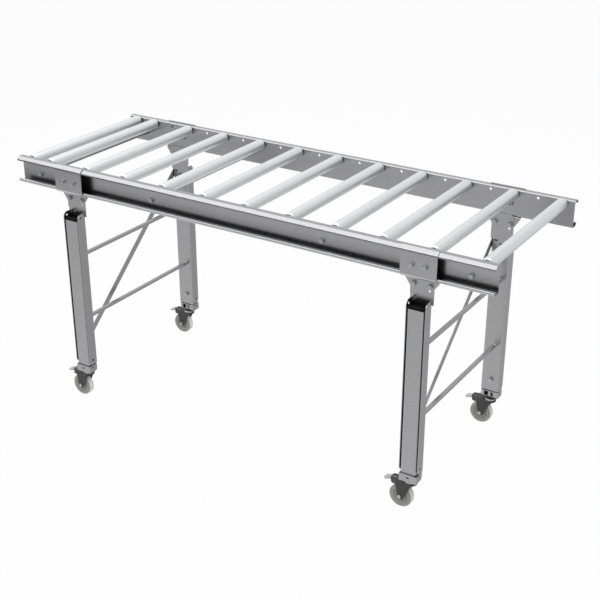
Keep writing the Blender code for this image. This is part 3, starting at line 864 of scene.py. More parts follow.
@dataclass(frozen=True)
class SideRails:
    """The two rails: channels with a lip, the web inside, and a row of holes for the axles."""

    sheet: float = 0.0025
    top_lip: float = 0.0125
    bottom_lip: float = 0.0118
    top_radius: float = 0.0122
    bottom_radius: float = 0.0075
    curl: float = 0.0075
    curl_radius: float = 0.0042
    web_radius: float = 0.004
    hole_radius: float = 0.0044
    hole_pitch: float = 0.075
    hole_drop: float = 0.013
    rim: float = 0.0011

    @functools.cached_property
    def box(self) -> Box:
        """Extent of the rear rail."""
        return Box.of("rail_rear")

    @property
    def web_outer(self) -> float:
        """Distance of the web's outer face from the middle of the table."""
        return self.box.low.y + self.sheet

    def holes(self) -> list[float]:
        """Places of the holes along the rail."""
        count = round((self.box.high.x - self.box.low.x) / self.hole_pitch)
        return [(index - (count - 1) / 2) * self.hole_pitch for index in range(count)]

    def shape(self) -> BMesh:
        """Fold the rear rail and drill its web.

        Returns:
            A closed shape.
        """
        low, high = self.box.low, self.box.high
        path = [
            (high.y, high.z - self.top_lip),
            (high.y, high.z),
            (low.y, high.z),
            (low.y, low.z),
            (high.y, low.z),
            (high.y, low.z + self.bottom_lip),
            (high.y - self.curl, low.z + self.bottom_lip),
        ]
        radii = [self.top_radius, self.web_radius, self.web_radius, self.bottom_radius, self.curl_radius]
        channel = fold(path, radii, self.sheet, Axis.X, low.x, high.x, self.rim)
        level = high.z - self.hole_drop
        places = [(place, level) for place in self.holes()]
        drills = drill(places, self.hole_radius, Axis.Y, -self.web_outer - self.sheet, -low.y + self.sheet)
        return cut(channel, drills)

    def dress(self) -> None:
        """Show both rails."""
        rail = self.shape()
        for side in Side:
            node = f"rail_{side.label}"
            show(f"{node}_sheet", on_side(rail.copy(), side), RAIL_ZINC_SHADED, node=node)
        rail.free()


@dataclass(frozen=True)
class Rollers:
    """The rollers, with pressed end caps, on their axles and bearing hubs."""

    edge: float = 0.0040
    end_reach: float = 0.0030
    cap_radius: float = 0.0122
    cap_sink: float = 0.0012
    bore: float = 0.0046
    hub_radius: float = 0.0100
    hub_step: float = 0.0022
    hub_gap: float = 0.0002
    axle_chamfer: float = 0.0008
    count: int = 12

    def tube(self, box: Box) -> BMesh:
        """Turn a roller with rolled edges and sunk caps, along Y.

        Args:
            box: the roller's extent.

        Returns:
            A closed shape.
        """
        radius = (box.high.z - box.low.z) / 2
        end = box.high.y + self.end_reach
        sunk = end - self.cap_sink
        cap = [(self.bore, sunk), (self.cap_radius, sunk), (self.cap_radius, end)]
        profile = mirrored(cap + shoulder(radius, end, self.edge))
        return moved(spun(profile, DRUM_STEPS, Axis.Y), Matrix.Translation(box.centre))

    def hub(self, box: Box, web: float) -> BMesh:
        """Turn the stepped bearing hub that fills the gap between a roller's end and the web.

        Args:
            box: the roller's extent.
            web: the web's distance from the middle of the table.

        Returns:
            The rear hub, about the Y axis.
        """
        start = box.high.y + self.end_reach - self.cap_sink + self.hub_gap
        end = web - self.hub_gap
        step = end - self.hub_step
        neck = self.hub_radius - self.hub_step
        inner = [(self.bore, start), (neck, start), (neck, step)]
        outer = [(self.hub_radius, step), (self.hub_radius, end), (self.bore, end)]
        return spun(inner + outer, ROD_STEPS, Axis.Y)

    def dress(self, rails: SideRails) -> None:
        """Show each roller, its hubs and its axle.

        Args:
            rails: the rails that carry the axles.
        """
        for number in range(1, self.count + 1):
            node = f"roller_{number:02d}"
            axle_node = f"roller_axle_{number:02d}"
            box = Box.of(node)
            axle = Box.of(axle_node)
            place = Matrix.Translation(box.centre)
            show(f"{node}_tube", self.tube(box), ROLLER_TUBE, node, node)
            hubs = self.hub(box, rails.box.low.y)
            added(hubs, moved(hubs.copy(), Matrix.Rotation(math.pi, 4, "Z")))
            show(f"{node}_hubs", moved(hubs, place), BEARING_STEEL)
            bar = rod((axle.high.z - axle.low.z) / 2, axle.low.y, axle.high.y, self.axle_chamfer)
            show(f"{axle_node}_bar", moved(bar, place), DRAWN_BAR, node=axle_node)


@dataclass(frozen=True)
class CrossBars:
    """Round ties between the rails, square braces between the legs, and what fastens them."""

    chamfer: float = 0.0006
    tie_count: int = 4
    tie_reach: float = 0.012
    brace_radius: float = 0.0015
    weld_leg: float = 0.0012
    weld_height: float = 0.0013

    def tie(self, box: Box) -> BMesh:
        """Turn a tie at its full length."""
        radius = (box.high.z - box.low.z) / 2
        return moved(rod(radius, box.low.y, box.high.y, self.chamfer), Matrix.Translation(box.centre))

    def brace(self, box: Box) -> BMesh:
        """Draw a square brace bar with rounded corners."""
        outline = rectangle((box.low.x, box.low.z), (box.high.x, box.high.z))
        return prism(outline, Axis.Y, box.low.y, box.high.y, [self.brace_radius] * len(outline))

    def welds(self, box: Box) -> BMesh:
        """Draw the weld beads round both ends of a brace, as collars that taper from the leg.

        Args:
            box: the brace's extent.

        Returns:
            Two closed shapes in one mesh.
        """
        size = box.size
        wide, tall = size.x + 2 * self.weld_leg, size.z + 2 * self.weld_leg
        middle = box.high.y - self.weld_height / 2
        stretch = Matrix.Diagonal((wide, tall, 1, 1))
        square = Matrix.Rotation(math.pi / 4, 4, "Z")
        both = bmesh.new()
        for side in Side:
            place = Matrix.Translation((box.centre.x, side.value * middle, box.centre.z))
            bmesh.ops.create_cone(
                both,
                cap_ends=True,
                segments=SQUARE_SIDES,
                radius1=SQUARE_RADIUS,
                radius2=SQUARE_RADIUS * size.x / wide,
                depth=self.weld_height,
                matrix=place @ Matrix.Rotation(side.value * math.pi / 2, 4, "X") @ stretch @ square,
            )
        bmesh.ops.recalc_face_normals(both, faces=both.faces)
        return both

    def dress(self, rails: SideRails, bolt: HexBolt) -> None:
        """Show the ties with a bolt at each end, and the welded braces.

        Args:
            rails: the rails that the ties hold.
            bolt: the bolts at their ends.
        """
        for number in range(1, self.tie_count + 1):
            node = f"cross_tie_{number}"
            box = Box.of(node)
            show(f"{node}_bar", self.tie(box), DRAWN_BAR, node=node)
            centre = box.centre
            for side in Side:
                seat = Vector((centre.x, side.value * rails.web_outer, centre.z))
                head = bolt.placed(seat, Vector((0, side.value, 0)), self.tie_reach)
                show(f"{node}_bolt_{side.label}", head, BOLT_ZINC)
        for end in End:
            for level in ("upper", "lower"):
                node = f"brace_{level}_{end.label}"
                box = Box.of(node)
                show(f"{node}_bar", self.brace(box), ZINC_SHEET, node=node)
                show(f"{node}_welds", self.welds(box), ZINC_SHEET)


@dataclass(frozen=True)
class CornerHoles:
    """Bolt holes that bracket and leg share, from the rail's edges and the corner's middle."""

    bolt_radius: float = 0.0044
    free_radius: float = 0.004
    rail_spacing: float = 0.040
    rail_drop: float = 0.046
    head_spacing: float = 0.049
    head_drop: float = 0.026
    free_across: float = 0.022
    free_drop: float = 0.041

    def rail_bolts(self, rail: Box) -> list[Point]:
        """Places of the bolts through the bracket's face."""
        return [(sign * self.rail_spacing / 2, rail.high.z - self.rail_drop) for sign in (-1, 1)]

    def head_bolts(self, rail: Box) -> list[Point]:
        """Places of the bolts between bracket and leg."""
        return [(sign * self.head_spacing / 2, rail.low.z - self.head_drop) for sign in (-1, 1)]

    def free_hole(self, rail: Box) -> Point:
        """Place of the spare hole."""
        return self.free_across, rail.low.z - self.free_drop


@dataclass(frozen=True)
class RailBrackets:
    """Brackets that wrap the rails' lips, with a tapered plate below for the leg."""

    gap: float = 0.0003
    sheet: float = 0.002
    top_reach: float = 0.0004
    under_radius: float = 0.0088
    fold_radius: float = 0.0045
    shoulder_drop: float = 0.008
    neck_drop: float = 0.0355
    neck: float = 0.070
    spare: float = 0.004
    rim: float = 0.0006

    def shape(self, box: Box, rails: SideRails, holes: CornerHoles) -> BMesh:
        """Fold a rear bracket about X = 0, taper its plate and drill it.

        Args:
            box: the bracket's extent.
            rails: the rails that it wraps.
            holes: where it is drilled.

        Returns:
            A closed shape.
        """
        rail = rails.box
        outside = rail.high.y + self.gap
        under = rail.low.z - self.gap
        inner = rail.low.y
        half = (box.high.x - box.low.x) / 2
        path = [
            (rail.high.y - rails.top_radius - self.top_reach, rail.high.z + self.gap),
            (outside, rail.high.z + self.gap),
            (outside, under),
            (inner, under),
            (inner, box.low.z),
        ]
        radii = [rails.top_radius + self.gap, self.under_radius, self.fold_radius]
        sheet = fold(path, radii, self.sheet, Axis.X, -half, half, self.rim)
        past = half + self.spare
        low = box.low.z - self.spare
        brow = rail.low.z - self.shoulder_drop
        narrow = self.neck / 2
        neck = rail.low.z - self.neck_drop
        taper = [(past, brow), (half, brow), (narrow, neck), (narrow, low), (past, low)]
        front, back = -inner - self.spare, self.spare - inner
        tools = []
        for sign in (-1, 1):
            outline = [(sign * across, up) for across, up in taper]
            tools.append(prism(outline, Axis.Y, front, back))
        tools.append(drill(holes.head_bolts(rail), holes.bolt_radius, Axis.Y, front, back))
        tools.append(drill([holes.free_hole(rail)], holes.free_radius, Axis.Y, front, back))
        places = holes.rail_bolts(rail)
        tools.append(drill(places, holes.bolt_radius, Axis.Y, -outside - self.spare, self.spare - outside))
        return cut(sheet, *tools)

    def dress(self, rails: SideRails, holes: CornerHoles, bolt: HexBolt) -> None:
        """Show the brackets with their bolts.

        Args:
            rails: the rails that they wrap.
            holes: where they are drilled.
            bolt: the bolts in their faces.
        """
        bracket = self.shape(Box.of("rail_bracket_rear_right"), rails, holes)
        face = rails.box.high.y + self.gap + self.sheet
        through = face - rails.box.low.y
        reach = through + bolt.washer_sheet + bolt.nut
        for corner in corners():
            node = f"rail_bracket_{corner.label}"
            station = Box.of(node).centre.x
            show(f"{node}_sheet", at_corner(bracket, corner, station), ZINC_SHEET, node=node)
            for number, (across, up) in enumerate(holes.rail_bolts(rails.box), 1):
                seat = Vector((station + across, corner.side.value * face, up))
                made = bolt.placed(seat, corner.outwards, reach, through)
                show(f"rail_bolt_{corner.label}_{number}", made, BOLT_ZINC)
        bracket.free()


@dataclass(frozen=True)
class Legs:
    """Outer leg sections: channels open to the outside, with rounded ears and a flat head above them."""

    sheet: float = 0.002
    width: float = 0.060
    fold_radius: float = 0.0045
    ear_radius: float = 0.014
    foot_radius: float = 0.013
    foot_clearance: float = 0.0045
    tip_set_back: float = 0.0030
    head_overlap: float = 0.014
    head_radius: float = 0.010
    head_set_back: float = 0.0002
    slider_drop: float = 0.023
    flange_hole_inset: float = 0.017
    flange_hole_drop: float = 0.0125
    flange_hole_rise: float = 0.0212
    slot_length: float = 0.012
    slot_width: float = 0.005
    slot_offset: float = 0.017
    slot_drop: float = 0.019
    web_hole_drop: float = 0.030
    clamp_rise: float = 0.044
    clamp_across: float = 0.003
    spare: float = 0.004

    @property
    def ear_level(self) -> float:
        """Level of the rounded ears at the top of the flanges."""
        return Box.of("leg_slider_rear_right").high.z + self.slider_drop

    def flange_holes(self, box: Box) -> list[Point]:
        """Places of the flange holes: distance outwards, and level."""
        plane = box.high.y - self.flange_hole_inset
        return [(plane, self.ear_level - self.flange_hole_drop), (plane, box.low.z + self.flange_hole_rise)]

    def channel(self, box: Box, rails: SideRails, holes: CornerHoles) -> BMesh:
        """Fold a rear leg channel about X = 0, round its ears, and add its drilled head.

        Args:
            box: the leg's extent.
            rails: the rails above it.
            holes: where its head is drilled.

        Returns:
            A closed shape.
        """
        half = self.width / 2
        tip, inner = box.high.y - self.tip_set_back, box.low.y + self.head_set_back
        path = [(-half, tip), (-half, inner), (half, inner), (half, tip)]
        radii = [self.fold_radius, self.fold_radius]
        low = box.low.z + self.foot_clearance
        channel = fold(path, radii, self.sheet, Axis.Z, low, self.ear_level)
        past = half + self.spare
        ears = corner_tool((tip, self.ear_level), (1, 1), self.ear_radius, Axis.X, -past, past)
        heels = corner_tool((tip, low), (1, -1), self.foot_radius, Axis.X, -past, past)
        head_half = (box.high.x - box.low.x) / 2
        outline = rectangle((-head_half, self.ear_level - self.head_overlap), (head_half, box.high.z))
        outer = -inner - self.sheet
        head = prism(
            outline,
            Axis.Y,
            outer + self.head_set_back,
            self.head_set_back - inner,
            (0, 0, self.head_radius, self.head_radius),
        )
        front, back = outer - self.spare, self.spare - inner
        web_hole = (0.0, self.ear_level - self.web_hole_drop)
        openings = [
            drill(self.flange_holes(box), holes.free_radius, Axis.X, -past, past),
            drill(holes.head_bolts(rails.box), holes.bolt_radius, Axis.Y, front, back),
            drill([holes.free_hole(rails.box), web_hole], holes.free_radius, Axis.Y, front, back),
        ]
        level = self.ear_level - self.slot_drop
        slot_low = (-self.slot_offset - self.slot_length / 2, level - self.slot_width / 2)
        slot_high = (-self.slot_offset + self.slot_length / 2, level + self.slot_width / 2)
        openings.append(prism(rectangle(slot_low, slot_high), Axis.Y, front, back))
        return cut(united(cut(channel, ears, heels), head), *openings)

    def dress(self, rails: SideRails, holes: CornerHoles, bolt: HexBolt, brackets: RailBrackets) -> None:
        """Show the leg channels, with the bolts of their heads and clamps.

        Args:
            rails: the rails above them.
            holes: where their heads are drilled.
            bolt: the bolts of heads and clamps.
            brackets: what the heads are bolted to.
        """
        box = Box.of("leg_channel_rear_right")
        drawn = self.channel(box, rails, holes)
        plate_face = rails.box.low.y + brackets.sheet
        grip = plate_face - box.low.y
        reach = grip + bolt.nut + 2 * bolt.washer_sheet
        for corner in corners():
            node = f"leg_channel_{corner.label}"
            station = Box.of(node).centre.x
            show(f"{node}_sheet", at_corner(drawn, corner, station), ZINC_SHEET, node=node)
            for number, (across, up) in enumerate(holes.head_bolts(rails.box), 1):
                seat = Vector((station + across, corner.side.value * plate_face, up))
                made = bolt.placed(seat, corner.outwards, reach, grip)
                show(f"head_bolt_{corner.label}_{number}", made, BOLT_ZINC)
            across, level = station + self.clamp_across, box.low.z + self.clamp_rise
            seat = Vector((across, corner.side.value * box.low.y, level))
            clamp = bolt.placed(seat, -corner.outwards, self.sheet)
            show(f"clamp_bolt_{corner.label}", clamp, BOLT_ZINC)
        drawn.free()


@dataclass(frozen=True)
class LegSliders:
    """Inner leg sections, each with a boxed foot, the stem of its caster and a plug at the top."""

    sheet: float = 0.002
    fold_radius: float = 0.006
    foot_height: float = 0.0245
    foot_lap: float = 0.0003
    foot_side_lap: float = 0.0023
    lean: float = 0.0013
    foot_wall: float = 0.0016
    foot_chamfer: float = 0.005
    inset: float = 0.0035
    upright_lap: float = 0.016
    slot_length: float = 0.010
    slot_width: float = 0.0045
    slot_rise: float = 0.014
    slot_radius: float = 0.002142857
    side_hole_radius: float = 0.003
    side_hole_rise: float = 0.0165
    side_hole_inset: float = 0.017
    window_rise: float = 0.0068
    window_height: float = 0.0152
    window_left: float = 0.0175
    window_right: float = 0.0125
    window_post: float = 0.0075
    stem_radius: float = 0.0045
    stem_inset: float = 0.0123
    stem_rise: float = 0.020
    stem_drop: float = 0.014
    stem_chamfer: float = 0.0005625
    plug_rise: float = 0.012
    plug_height: float = 0.028
    plug_gap: float = 0.0004
    plug_wall: float = 0.0025
    plug_dish: float = 0.010
    plug_edge: float = 0.0008
    spare: float = 0.004

    def foot_bottom(self, box: Box) -> float:
        """Level of the foot's underside, above the end of the stem."""
        return box.low.z + self.stem_drop

    def upright(self, box: Box) -> BMesh:
        """Fold the rear slider's U section about X = 0.

        Args:
            box: the slider's extent.

        Returns:
            A closed shape.
        """
        half = (box.high.x - box.low.x) / 2 - self.foot_side_lap
        inner = box.low.y + self.foot_lap
        outer = box.high.y - self.inset
        left, right = -half - self.lean, half - self.lean
        path = [(right, inner), (right, outer), (left, outer), (left, inner)]
        low = self.foot_bottom(box) + self.foot_height - self.upright_lap
        return fold(path, [self.fold_radius, self.fold_radius], self.sheet, Axis.Z, low, box.high.z)

    def foot(self, box: Box) -> BMesh:
        """Box the rear foot about X = 0, with its windows, slot and side holes, round the stem.

        Args:
            box: the slider's extent.

        Returns:
            Foot and stem in one mesh.
        """
        half = (box.high.x - box.low.x) / 2
        inner, outer = box.low.y, box.high.y
        low = self.foot_bottom(box)
        top = low + self.foot_height
        wall = self.foot_wall
        body = block((-half, inner, low), (half, outer, top))
        pocket = block((-half + wall, inner + wall, low + wall), (half - wall, outer - wall, top + wall))
        heel = [
            (inner - wall, low - wall),
            (inner + self.foot_chamfer + wall, low - wall),
            (inner - wall, low + self.foot_chamfer + wall),
        ]
        past = half + self.spare
        sill = low + self.window_rise
        post = self.window_post / 2
        front, back = -inner - wall - self.foot_lap, -inner + wall
        windows = [
            prism(rectangle((start, sill), (end, sill + self.window_height)), Axis.Y, front, back)
            for start, end in ((-self.window_left, -post), (post, self.window_right))
        ]
        level = low + self.slot_rise
        slot_low = (-self.slot_length / 2, level - self.slot_width / 2)
        slot_high = (self.slot_length / 2, level + self.slot_width / 2)
        outline = rectangle(slot_low, slot_high)
        rounding = [self.slot_radius] * len(outline)
        slot = prism(outline, Axis.Y, -outer - wall, -outer + 2 * wall, rounding)
        side_place = [(outer - self.side_hole_inset, low + self.side_hole_rise)]
        side = drill(side_place, self.side_hole_radius, Axis.X, -past, past)
        made = cut(body, pocket, prism(heel, Axis.X, -past, past), *windows, slot, side)
        stem = rod(self.stem_radius, box.low.z, low + self.stem_rise, self.stem_chamfer, axis=Axis.Z)
        plane = inner + self.foot_lap + self.stem_inset
        return added(made, moved(stem, Matrix.Translation((0, plane, 0))))

    def plug(self, box: Box) -> BMesh:
        """Mould the dished plug that closes the rear slider's upper end and guides it in the leg; its black
        also serves as painted shade for the dark inside of the leg.

        Args:
            box: the slider's extent.

        Returns:
            A closed shape.
        """
        half = (box.high.x - box.low.x) / 2 - self.foot_side_lap - self.sheet - self.plug_gap
        inner = box.low.y + self.foot_lap + self.plug_gap
        outer = box.high.y - self.inset - self.sheet - self.plug_gap
        top = box.high.z + self.plug_rise
        wall = self.plug_wall
        body = block((-half, inner, top - self.plug_height), (half, outer, top))
        floor = top - self.plug_dish
        dish = block((wall - half, inner + wall, floor), (half - wall, outer - wall, top + wall))
        return moved(cut(body, dish), Matrix.Translation((-self.lean, 0, 0)))

    def dress(self) -> None:
        """Show the sliders with their feet and plugs."""
        box = Box.of("leg_slider_rear_right")
        upright, foot, plug = self.upright(box), self.foot(box), self.plug(box)
        for corner in corners():
            node = f"leg_slider_{corner.label}"
            body = f"leg_{corner.label}"
            station = Box.of(node).centre.x
            show(f"{node}_sheet", at_corner(upright, corner, station), ZINC_SHEET, body, node)
            show(f"leg_foot_{corner.label}", at_corner(foot, corner, station), ZINC_SHEET, body)
            # The plug is partly a real guide and partly painted shade: its near-black fills the leg's shaded
            # top
            guide = at_corner(plug, corner, station)
            show(f"leg_plug_{corner.label}", guide, PLUG_RUBBER_AND_SHADE, body, edge=self.plug_edge)
        for drawn in (upright, foot, plug):
            drawn.free()


@dataclass(frozen=True)
class Casters:
    """Braked swivel casters: black fork, bright race and axle heads, wheel with a pale tread, and pedal."""

    trail: float = 0.027
    wheel_width: float = 0.024
    tread_depth: float = 0.0022
    shoulder: float = 0.0017
    dish: float = 0.004
    bowl_reach: float = 0.012
    ridge_inner: float = 0.008
    ridge_outer: float = 0.002
    ridge_sink: float = 0.0005
    core_edge: float = 0.001
    rim_slope: float = 0.0045
    rim_set_back: float = 0.0030
    hub_radius: float = 0.013
    bore: float = 0.0044
    side_gap: float = 0.0015
    plate: float = 0.003
    crown_rise: float = 0.0055
    crown: float = 0.012
    cheek_drop: float = 0.0075
    shoulder_drop: float = 0.0068
    front: float = 0.007
    back: float = 0.062
    back_radius: float = 0.008
    back_top_radius: float = 0.004
    plate_front: float = 0.003
    plate_back: float = 0.040
    heel: float = 0.0060
    heel_drop: float = 0.0062
    tip: float = 0.0105
    tip_drop: float = 0.0080
    tip_radius: float = 0.002
    foot_radius: float = 0.004
    race_radius: float = 0.0195
    ring_radius: float = 0.0182
    race_sink: float = 0.008
    race: float = 0.004
    race_edge: float = 0.001
    neck_radius: float = 0.012
    neck: float = 0.0037
    pin_back: float = 0.052
    pin_drop: float = 0.008
    roof: float = 0.0020
    hatch_length: float = 0.0135
    hatch_width: float = 0.010
    hatch_radius: float = 0.003333333
    hatch_rim: float = 0.0035
    nose_half: float = 0.0100
    nose_taper: float = 0.0015
    nose_radius: float = 0.007
    barrel: float = 0.0052
    pedal_root: float = 0.0125
    pedal_width: float = 0.020
    pedal_gap: float = 0.0008
    pedal_length: float = 0.032
    toe_radius: float = 0.0075
    pedal_fall: float = 0.0075
    pedal_tip: float = 0.006
    pedal_nose: float = 0.014
    pedal_slot: float = 0.044
    nose_share: float = 0.6
    barrel_share: float = 0.8
    tip_share: float = 0.4
    belly_radius: float = 0.003
    nose_edge: float = 0.001
    throat_radius: float = 0.002
    axle_radius: float = 0.0040
    axle_head: float = 0.0056
    axle_head_rise: float = 0.0024
    axle_edge: float = 0.0005
    edge: float = 0.0009

    def fork(self, axle: float, radius: float) -> BMesh:
        """Draw the fork about its stem: side plates under a crown that is slotted for wheel and pedal.

        Args:
            axle: the level of the wheel's axle.
            radius: the wheel's radius.

        Returns:
            A closed shape.
        """
        under = axle + radius + self.crown_rise
        top = under + self.crown
        cheek = under - self.cheek_drop
        inside = self.wheel_width / 2 + self.side_gap
        outside = inside + self.plate
        heel, tip = -self.trail - self.heel, -self.trail + self.tip
        outline = [
            (self.front, top),
            (-self.back, top),
            (-self.back, cheek),
            (-self.plate_back, cheek),
            (heel, axle - self.heel_drop),
            (tip, axle - self.tip_drop),
            (self.plate_front, under - self.shoulder_drop),
            (self.front, under),
        ]
        soft = self.tip_radius
        foot = self.foot_radius
        rounding = (0, self.back_top_radius, self.back_radius, soft, foot, foot, soft, soft)
        plates = prism(outline, Axis.Y, -outside, outside, rounding)
        past = 2 * radius
        wheel_slot = block((-self.plate_back, -inside, -past), (past, inside, under))
        half = self.pedal_root / 2 + self.pedal_gap
        pedal_slot = block((-past - self.back, -half, cheek), (-self.pedal_slot, half, top - self.roof))
        start, half_hatch = self.hatch_rim - self.back, self.hatch_width / 2
        hatch = rectangle((start, -half_hatch), (start + self.hatch_length, half_hatch))
        flanks = [prism(hatch, Axis.Z, cheek, top + past, [self.hatch_radius] * len(hatch))]
        flank = [
            (-self.plate_back, outside),
            (-self.plate_back - self.nose_radius, self.nose_half + self.nose_taper),
            (-self.back, self.nose_half),
            (-past, self.nose_half),
            (-past, past),
            (-self.plate_back, past),
        ]
        for sign in (-1, 1):
            flanks.append(prism([(along, sign * across) for along, across in flank], Axis.Z, 0, top + past))
            corner = (-self.back, sign * self.nose_half)
            flanks.append(corner_tool(corner, (-1, sign), self.nose_radius, Axis.Z, 0, top + past))
        seat, boss_top = top - self.race_sink, top + self.race + self.neck
        drum = rod(self.race_radius, seat, top, self.edge, DRUM_STEPS, Axis.Z)
        boss = rod(self.neck_radius, seat, boss_top, self.edge, axis=Axis.Z)
        return united(cut(plates, wheel_slot, pedal_slot, *flanks), drum, boss)

    def race_ring(self, level: float) -> BMesh:
        """Turn the bright swivel race that lies on the crown.

        Args:
            level: the crown's top.

        Returns:
            A closed shape.
        """
        high = level + self.race
        soft = self.race_edge
        rim = [(self.ring_radius, level), (self.ring_radius, high - soft), (self.ring_radius - soft, high)]
        return spun([(self.neck_radius, level), *rim, (self.neck_radius, high)], DRUM_STEPS)

    def axle_heads(self, axle: float) -> BMesh:
        """Turn the wheel's axle with a flat head on either side.

        Args:
            axle: the level of the wheel's axle.

        Returns:
            A closed shape, about the fork's stem.
        """
        seat = self.wheel_width / 2 + self.side_gap + self.plate
        top = seat + self.axle_head_rise
        head = self.axle_head
        soft = self.axle_edge
        half = [(0, top), (head - soft, top), (head, top - soft), (head, seat), (self.axle_radius, seat)]
        return moved(spun(mirrored(half), ROD_STEPS, Axis.Y), Matrix.Translation((-self.trail, 0, axle)))

    def core(self, radius: float) -> BMesh:
        """Turn the wheel's dished core.

        Args:
            radius: the wheel's radius.

        Returns:
            A closed shape.
        """
        rim = radius - self.tread_depth
        face = self.wheel_width / 2
        soft = self.core_edge
        band = rim - self.rim_slope
        ridge = face - self.ridge_sink
        edge = face - self.rim_set_back
        half = [
            (self.bore, face),
            (self.hub_radius - soft, face),
            (self.hub_radius, face - soft),
            (self.hub_radius + soft, face - self.dish),
            (band - self.bowl_reach, face - self.dish),
            (band - self.ridge_inner, ridge),
            (band - self.ridge_outer, ridge),
            (band, face - soft),
            (rim - soft, edge + soft),
            (rim, edge),
        ]
        return spun(mirrored(half), DRUM_STEPS, Axis.Y)

    def tread(self, radius: float) -> BMesh:
        """Turn the wheel's tread, with round shoulders.

        Args:
            radius: the wheel's radius.

        Returns:
            A closed shape.
        """
        rim = radius - self.tread_depth
        face = self.wheel_width / 2 - self.rim_set_back
        half = [(rim, face), *shoulder(radius, face, self.shoulder)]
        return spun(mirrored(half), DRUM_STEPS, Axis.Y)

    def pedal(self) -> BMesh:
        """Draw the pedal about its pin: barrel, flat toe plate and the nose above the tread.

        Returns:
            A closed shape.
        """
        barrel = self.barrel
        nose = barrel * self.nose_share
        outline = [
            (barrel, barrel),
            (-self.pedal_length, barrel - self.pedal_fall),
            (-self.pedal_length, barrel - self.pedal_fall - self.pedal_tip),
            (-barrel - self.pedal_tip, -barrel / 2),
            (-nose, -self.pedal_nose),
            (nose, -self.pedal_nose),
            (barrel, -nose),
        ]
        top, tip = barrel * self.barrel_share, self.pedal_tip * self.tip_share
        rounding = (top, tip, tip, self.belly_radius, self.nose_edge, self.nose_edge, self.throat_radius)
        half, root = self.pedal_width / 2, self.pedal_root / 2
        past = 2 * half
        start = self.pin_back - self.back - self.pedal_gap
        wide = start - half + root
        flank = [(start, root), (wide, half), (wide, past), (half, past), (half, root)]
        tools = []
        for sign in (-1, 1):
            toe = (-self.pedal_length, sign * half)
            tools.append(corner_tool(toe, (-1, sign), self.toe_radius, Axis.Z, -past, past))
            tools.append(prism([(along, sign * across) for along, across in flank], Axis.Z, -past, past))
        return cut(prism(outline, Axis.Y, -half, half, rounding), *tools)

    def dress(self) -> None:
        """Show the four casters."""
        wheel = Box.of("caster_wheel_rear_right")
        axle = wheel.centre.z
        radius = (wheel.high.x - wheel.low.x) / 2
        fork, heads = self.fork(axle, radius), self.axle_heads(axle)
        crown_top = axle + radius + self.crown_rise + self.crown
        ring, pedal = self.race_ring(crown_top), self.pedal()
        core, tread = self.core(axle), self.tread(axle)
        for corner in corners():
            label = corner.label
            hub = Box.of(f"caster_wheel_{label}").centre
            stem = Matrix.Translation((hub.x + self.trail, hub.y, 0))
            pin = Matrix.Translation((hub.x + self.trail - self.pin_back, hub.y, crown_top - self.pin_drop))
            spin = Matrix.Translation(hub)
            swivel, turning, press = f"swivel_{label}", f"wheel_{label}", f"pedal_{label}"
            fork_node, wheel_node, pedal_node = (
                f"{kind}_{label}" for kind in ("caster_fork", "caster_wheel", "brake_pedal")
            )
            moulding = moved(fork.copy(), stem)
            show(f"{fork_node}_moulding", moulding, BLACK_POLYAMIDE, swivel, fork_node, self.edge)
            show(f"swivel_race_{label}", moved(ring.copy(), stem), BOLT_ZINC, swivel)
            show(f"axle_heads_{label}", moved(heads.copy(), stem), BOLT_ZINC, swivel)
            show(f"{wheel_node}_core", moved(core.copy(), spin), GREY_POLYAMIDE, turning, wheel_node)
            # The tread's pale colour is painted light on the wheel's running surface
            show(f"{wheel_node}_tread", moved(tread.copy(), spin), TREAD_PAINTED_LIGHT, turning)
            lever = moved(pedal.copy(), pin)
            show(f"{pedal_node}_moulding", lever, PEDAL_POLYAMIDE, press, pedal_node, self.edge)
        for drawn in (fork, heads, ring, pedal, core, tread):
            drawn.free()


@dataclass(frozen=True)
class DiagonalStrips:
    """The flat strips across the leg pairs, with the rivets that hold them."""

    shank: float = 0.0035
    grip: float = 0.0044
    head: float = 0.0062
    head_rise: float = 0.0022
    dome_steps: int = 5

    def rivet(self) -> BMesh:
        """Turn a domed rivet along -X, with its seat at the origin.

        Returns:
            A closed shape.
        """
        turns = [step / self.dome_steps * math.pi / 2 for step in range(self.dome_steps + 1)]
        dome = [(self.head * math.sin(turn), -self.head_rise * math.cos(turn)) for turn in turns]
        return spun([*dome, (self.shank, 0), (self.shank, self.grip), (0, self.grip)], ROD_STEPS, Axis.X)

    def dress(self, legs: Legs) -> None:
        """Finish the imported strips, and rivet them to the legs.

        Args:
            legs: the legs whose flange holes take the rivets.
        """
        for end in End:
            node = f"brace_diagonal_{end.label}"
            strip = frame["nodes"][node]
            strip.data.materials.clear()
            strip.data.materials.append(ZINC_SHEET.material)
            box = Box.of(node)
            (plane, high), (_, low) = legs.flange_holes(Box.of(f"leg_channel_rear_{end.label}"))
            for side, level in ((Side.FRONT, low), (Side.REAR, high)):
                seat = Vector((box.low.x, side.value * plane, level))
                made = moved(self.rivet(), Matrix.Translation(seat))
                show(f"{node}_rivet_{side.label}", made, BOLT_ZINC)


@dataclass(frozen=True)
class Flag:
    """A curved cloth on the horizon, out of the picture, that only metal shows."""

    name: str
    start_deg: float
    sweep_deg: float
    tone: str
    reach: float = 3.6
    low: float = 0.02
    high: float = 1.3
    steps: int = 24

    def shape(self) -> BMesh:
        """Sweep an upright edge round the set.

        Returns:
            An open sheet.
        """
        shape = bmesh.new()
        turn = Matrix.Rotation(math.radians(self.start_deg), 4, "Z")
        ends = [shape.verts.new(turn @ Vector((self.reach, 0, level))) for level in (self.low, self.high)]
        edge = shape.edges.new(ends)
        bmesh.ops.spin(
            shape,
            geom=[*ends, edge],
            cent=(0, 0, 0),
            axis=(0, 0, 1),
            angle=math.radians(self.sweep_deg),
            steps=self.steps,
        )
        return shape


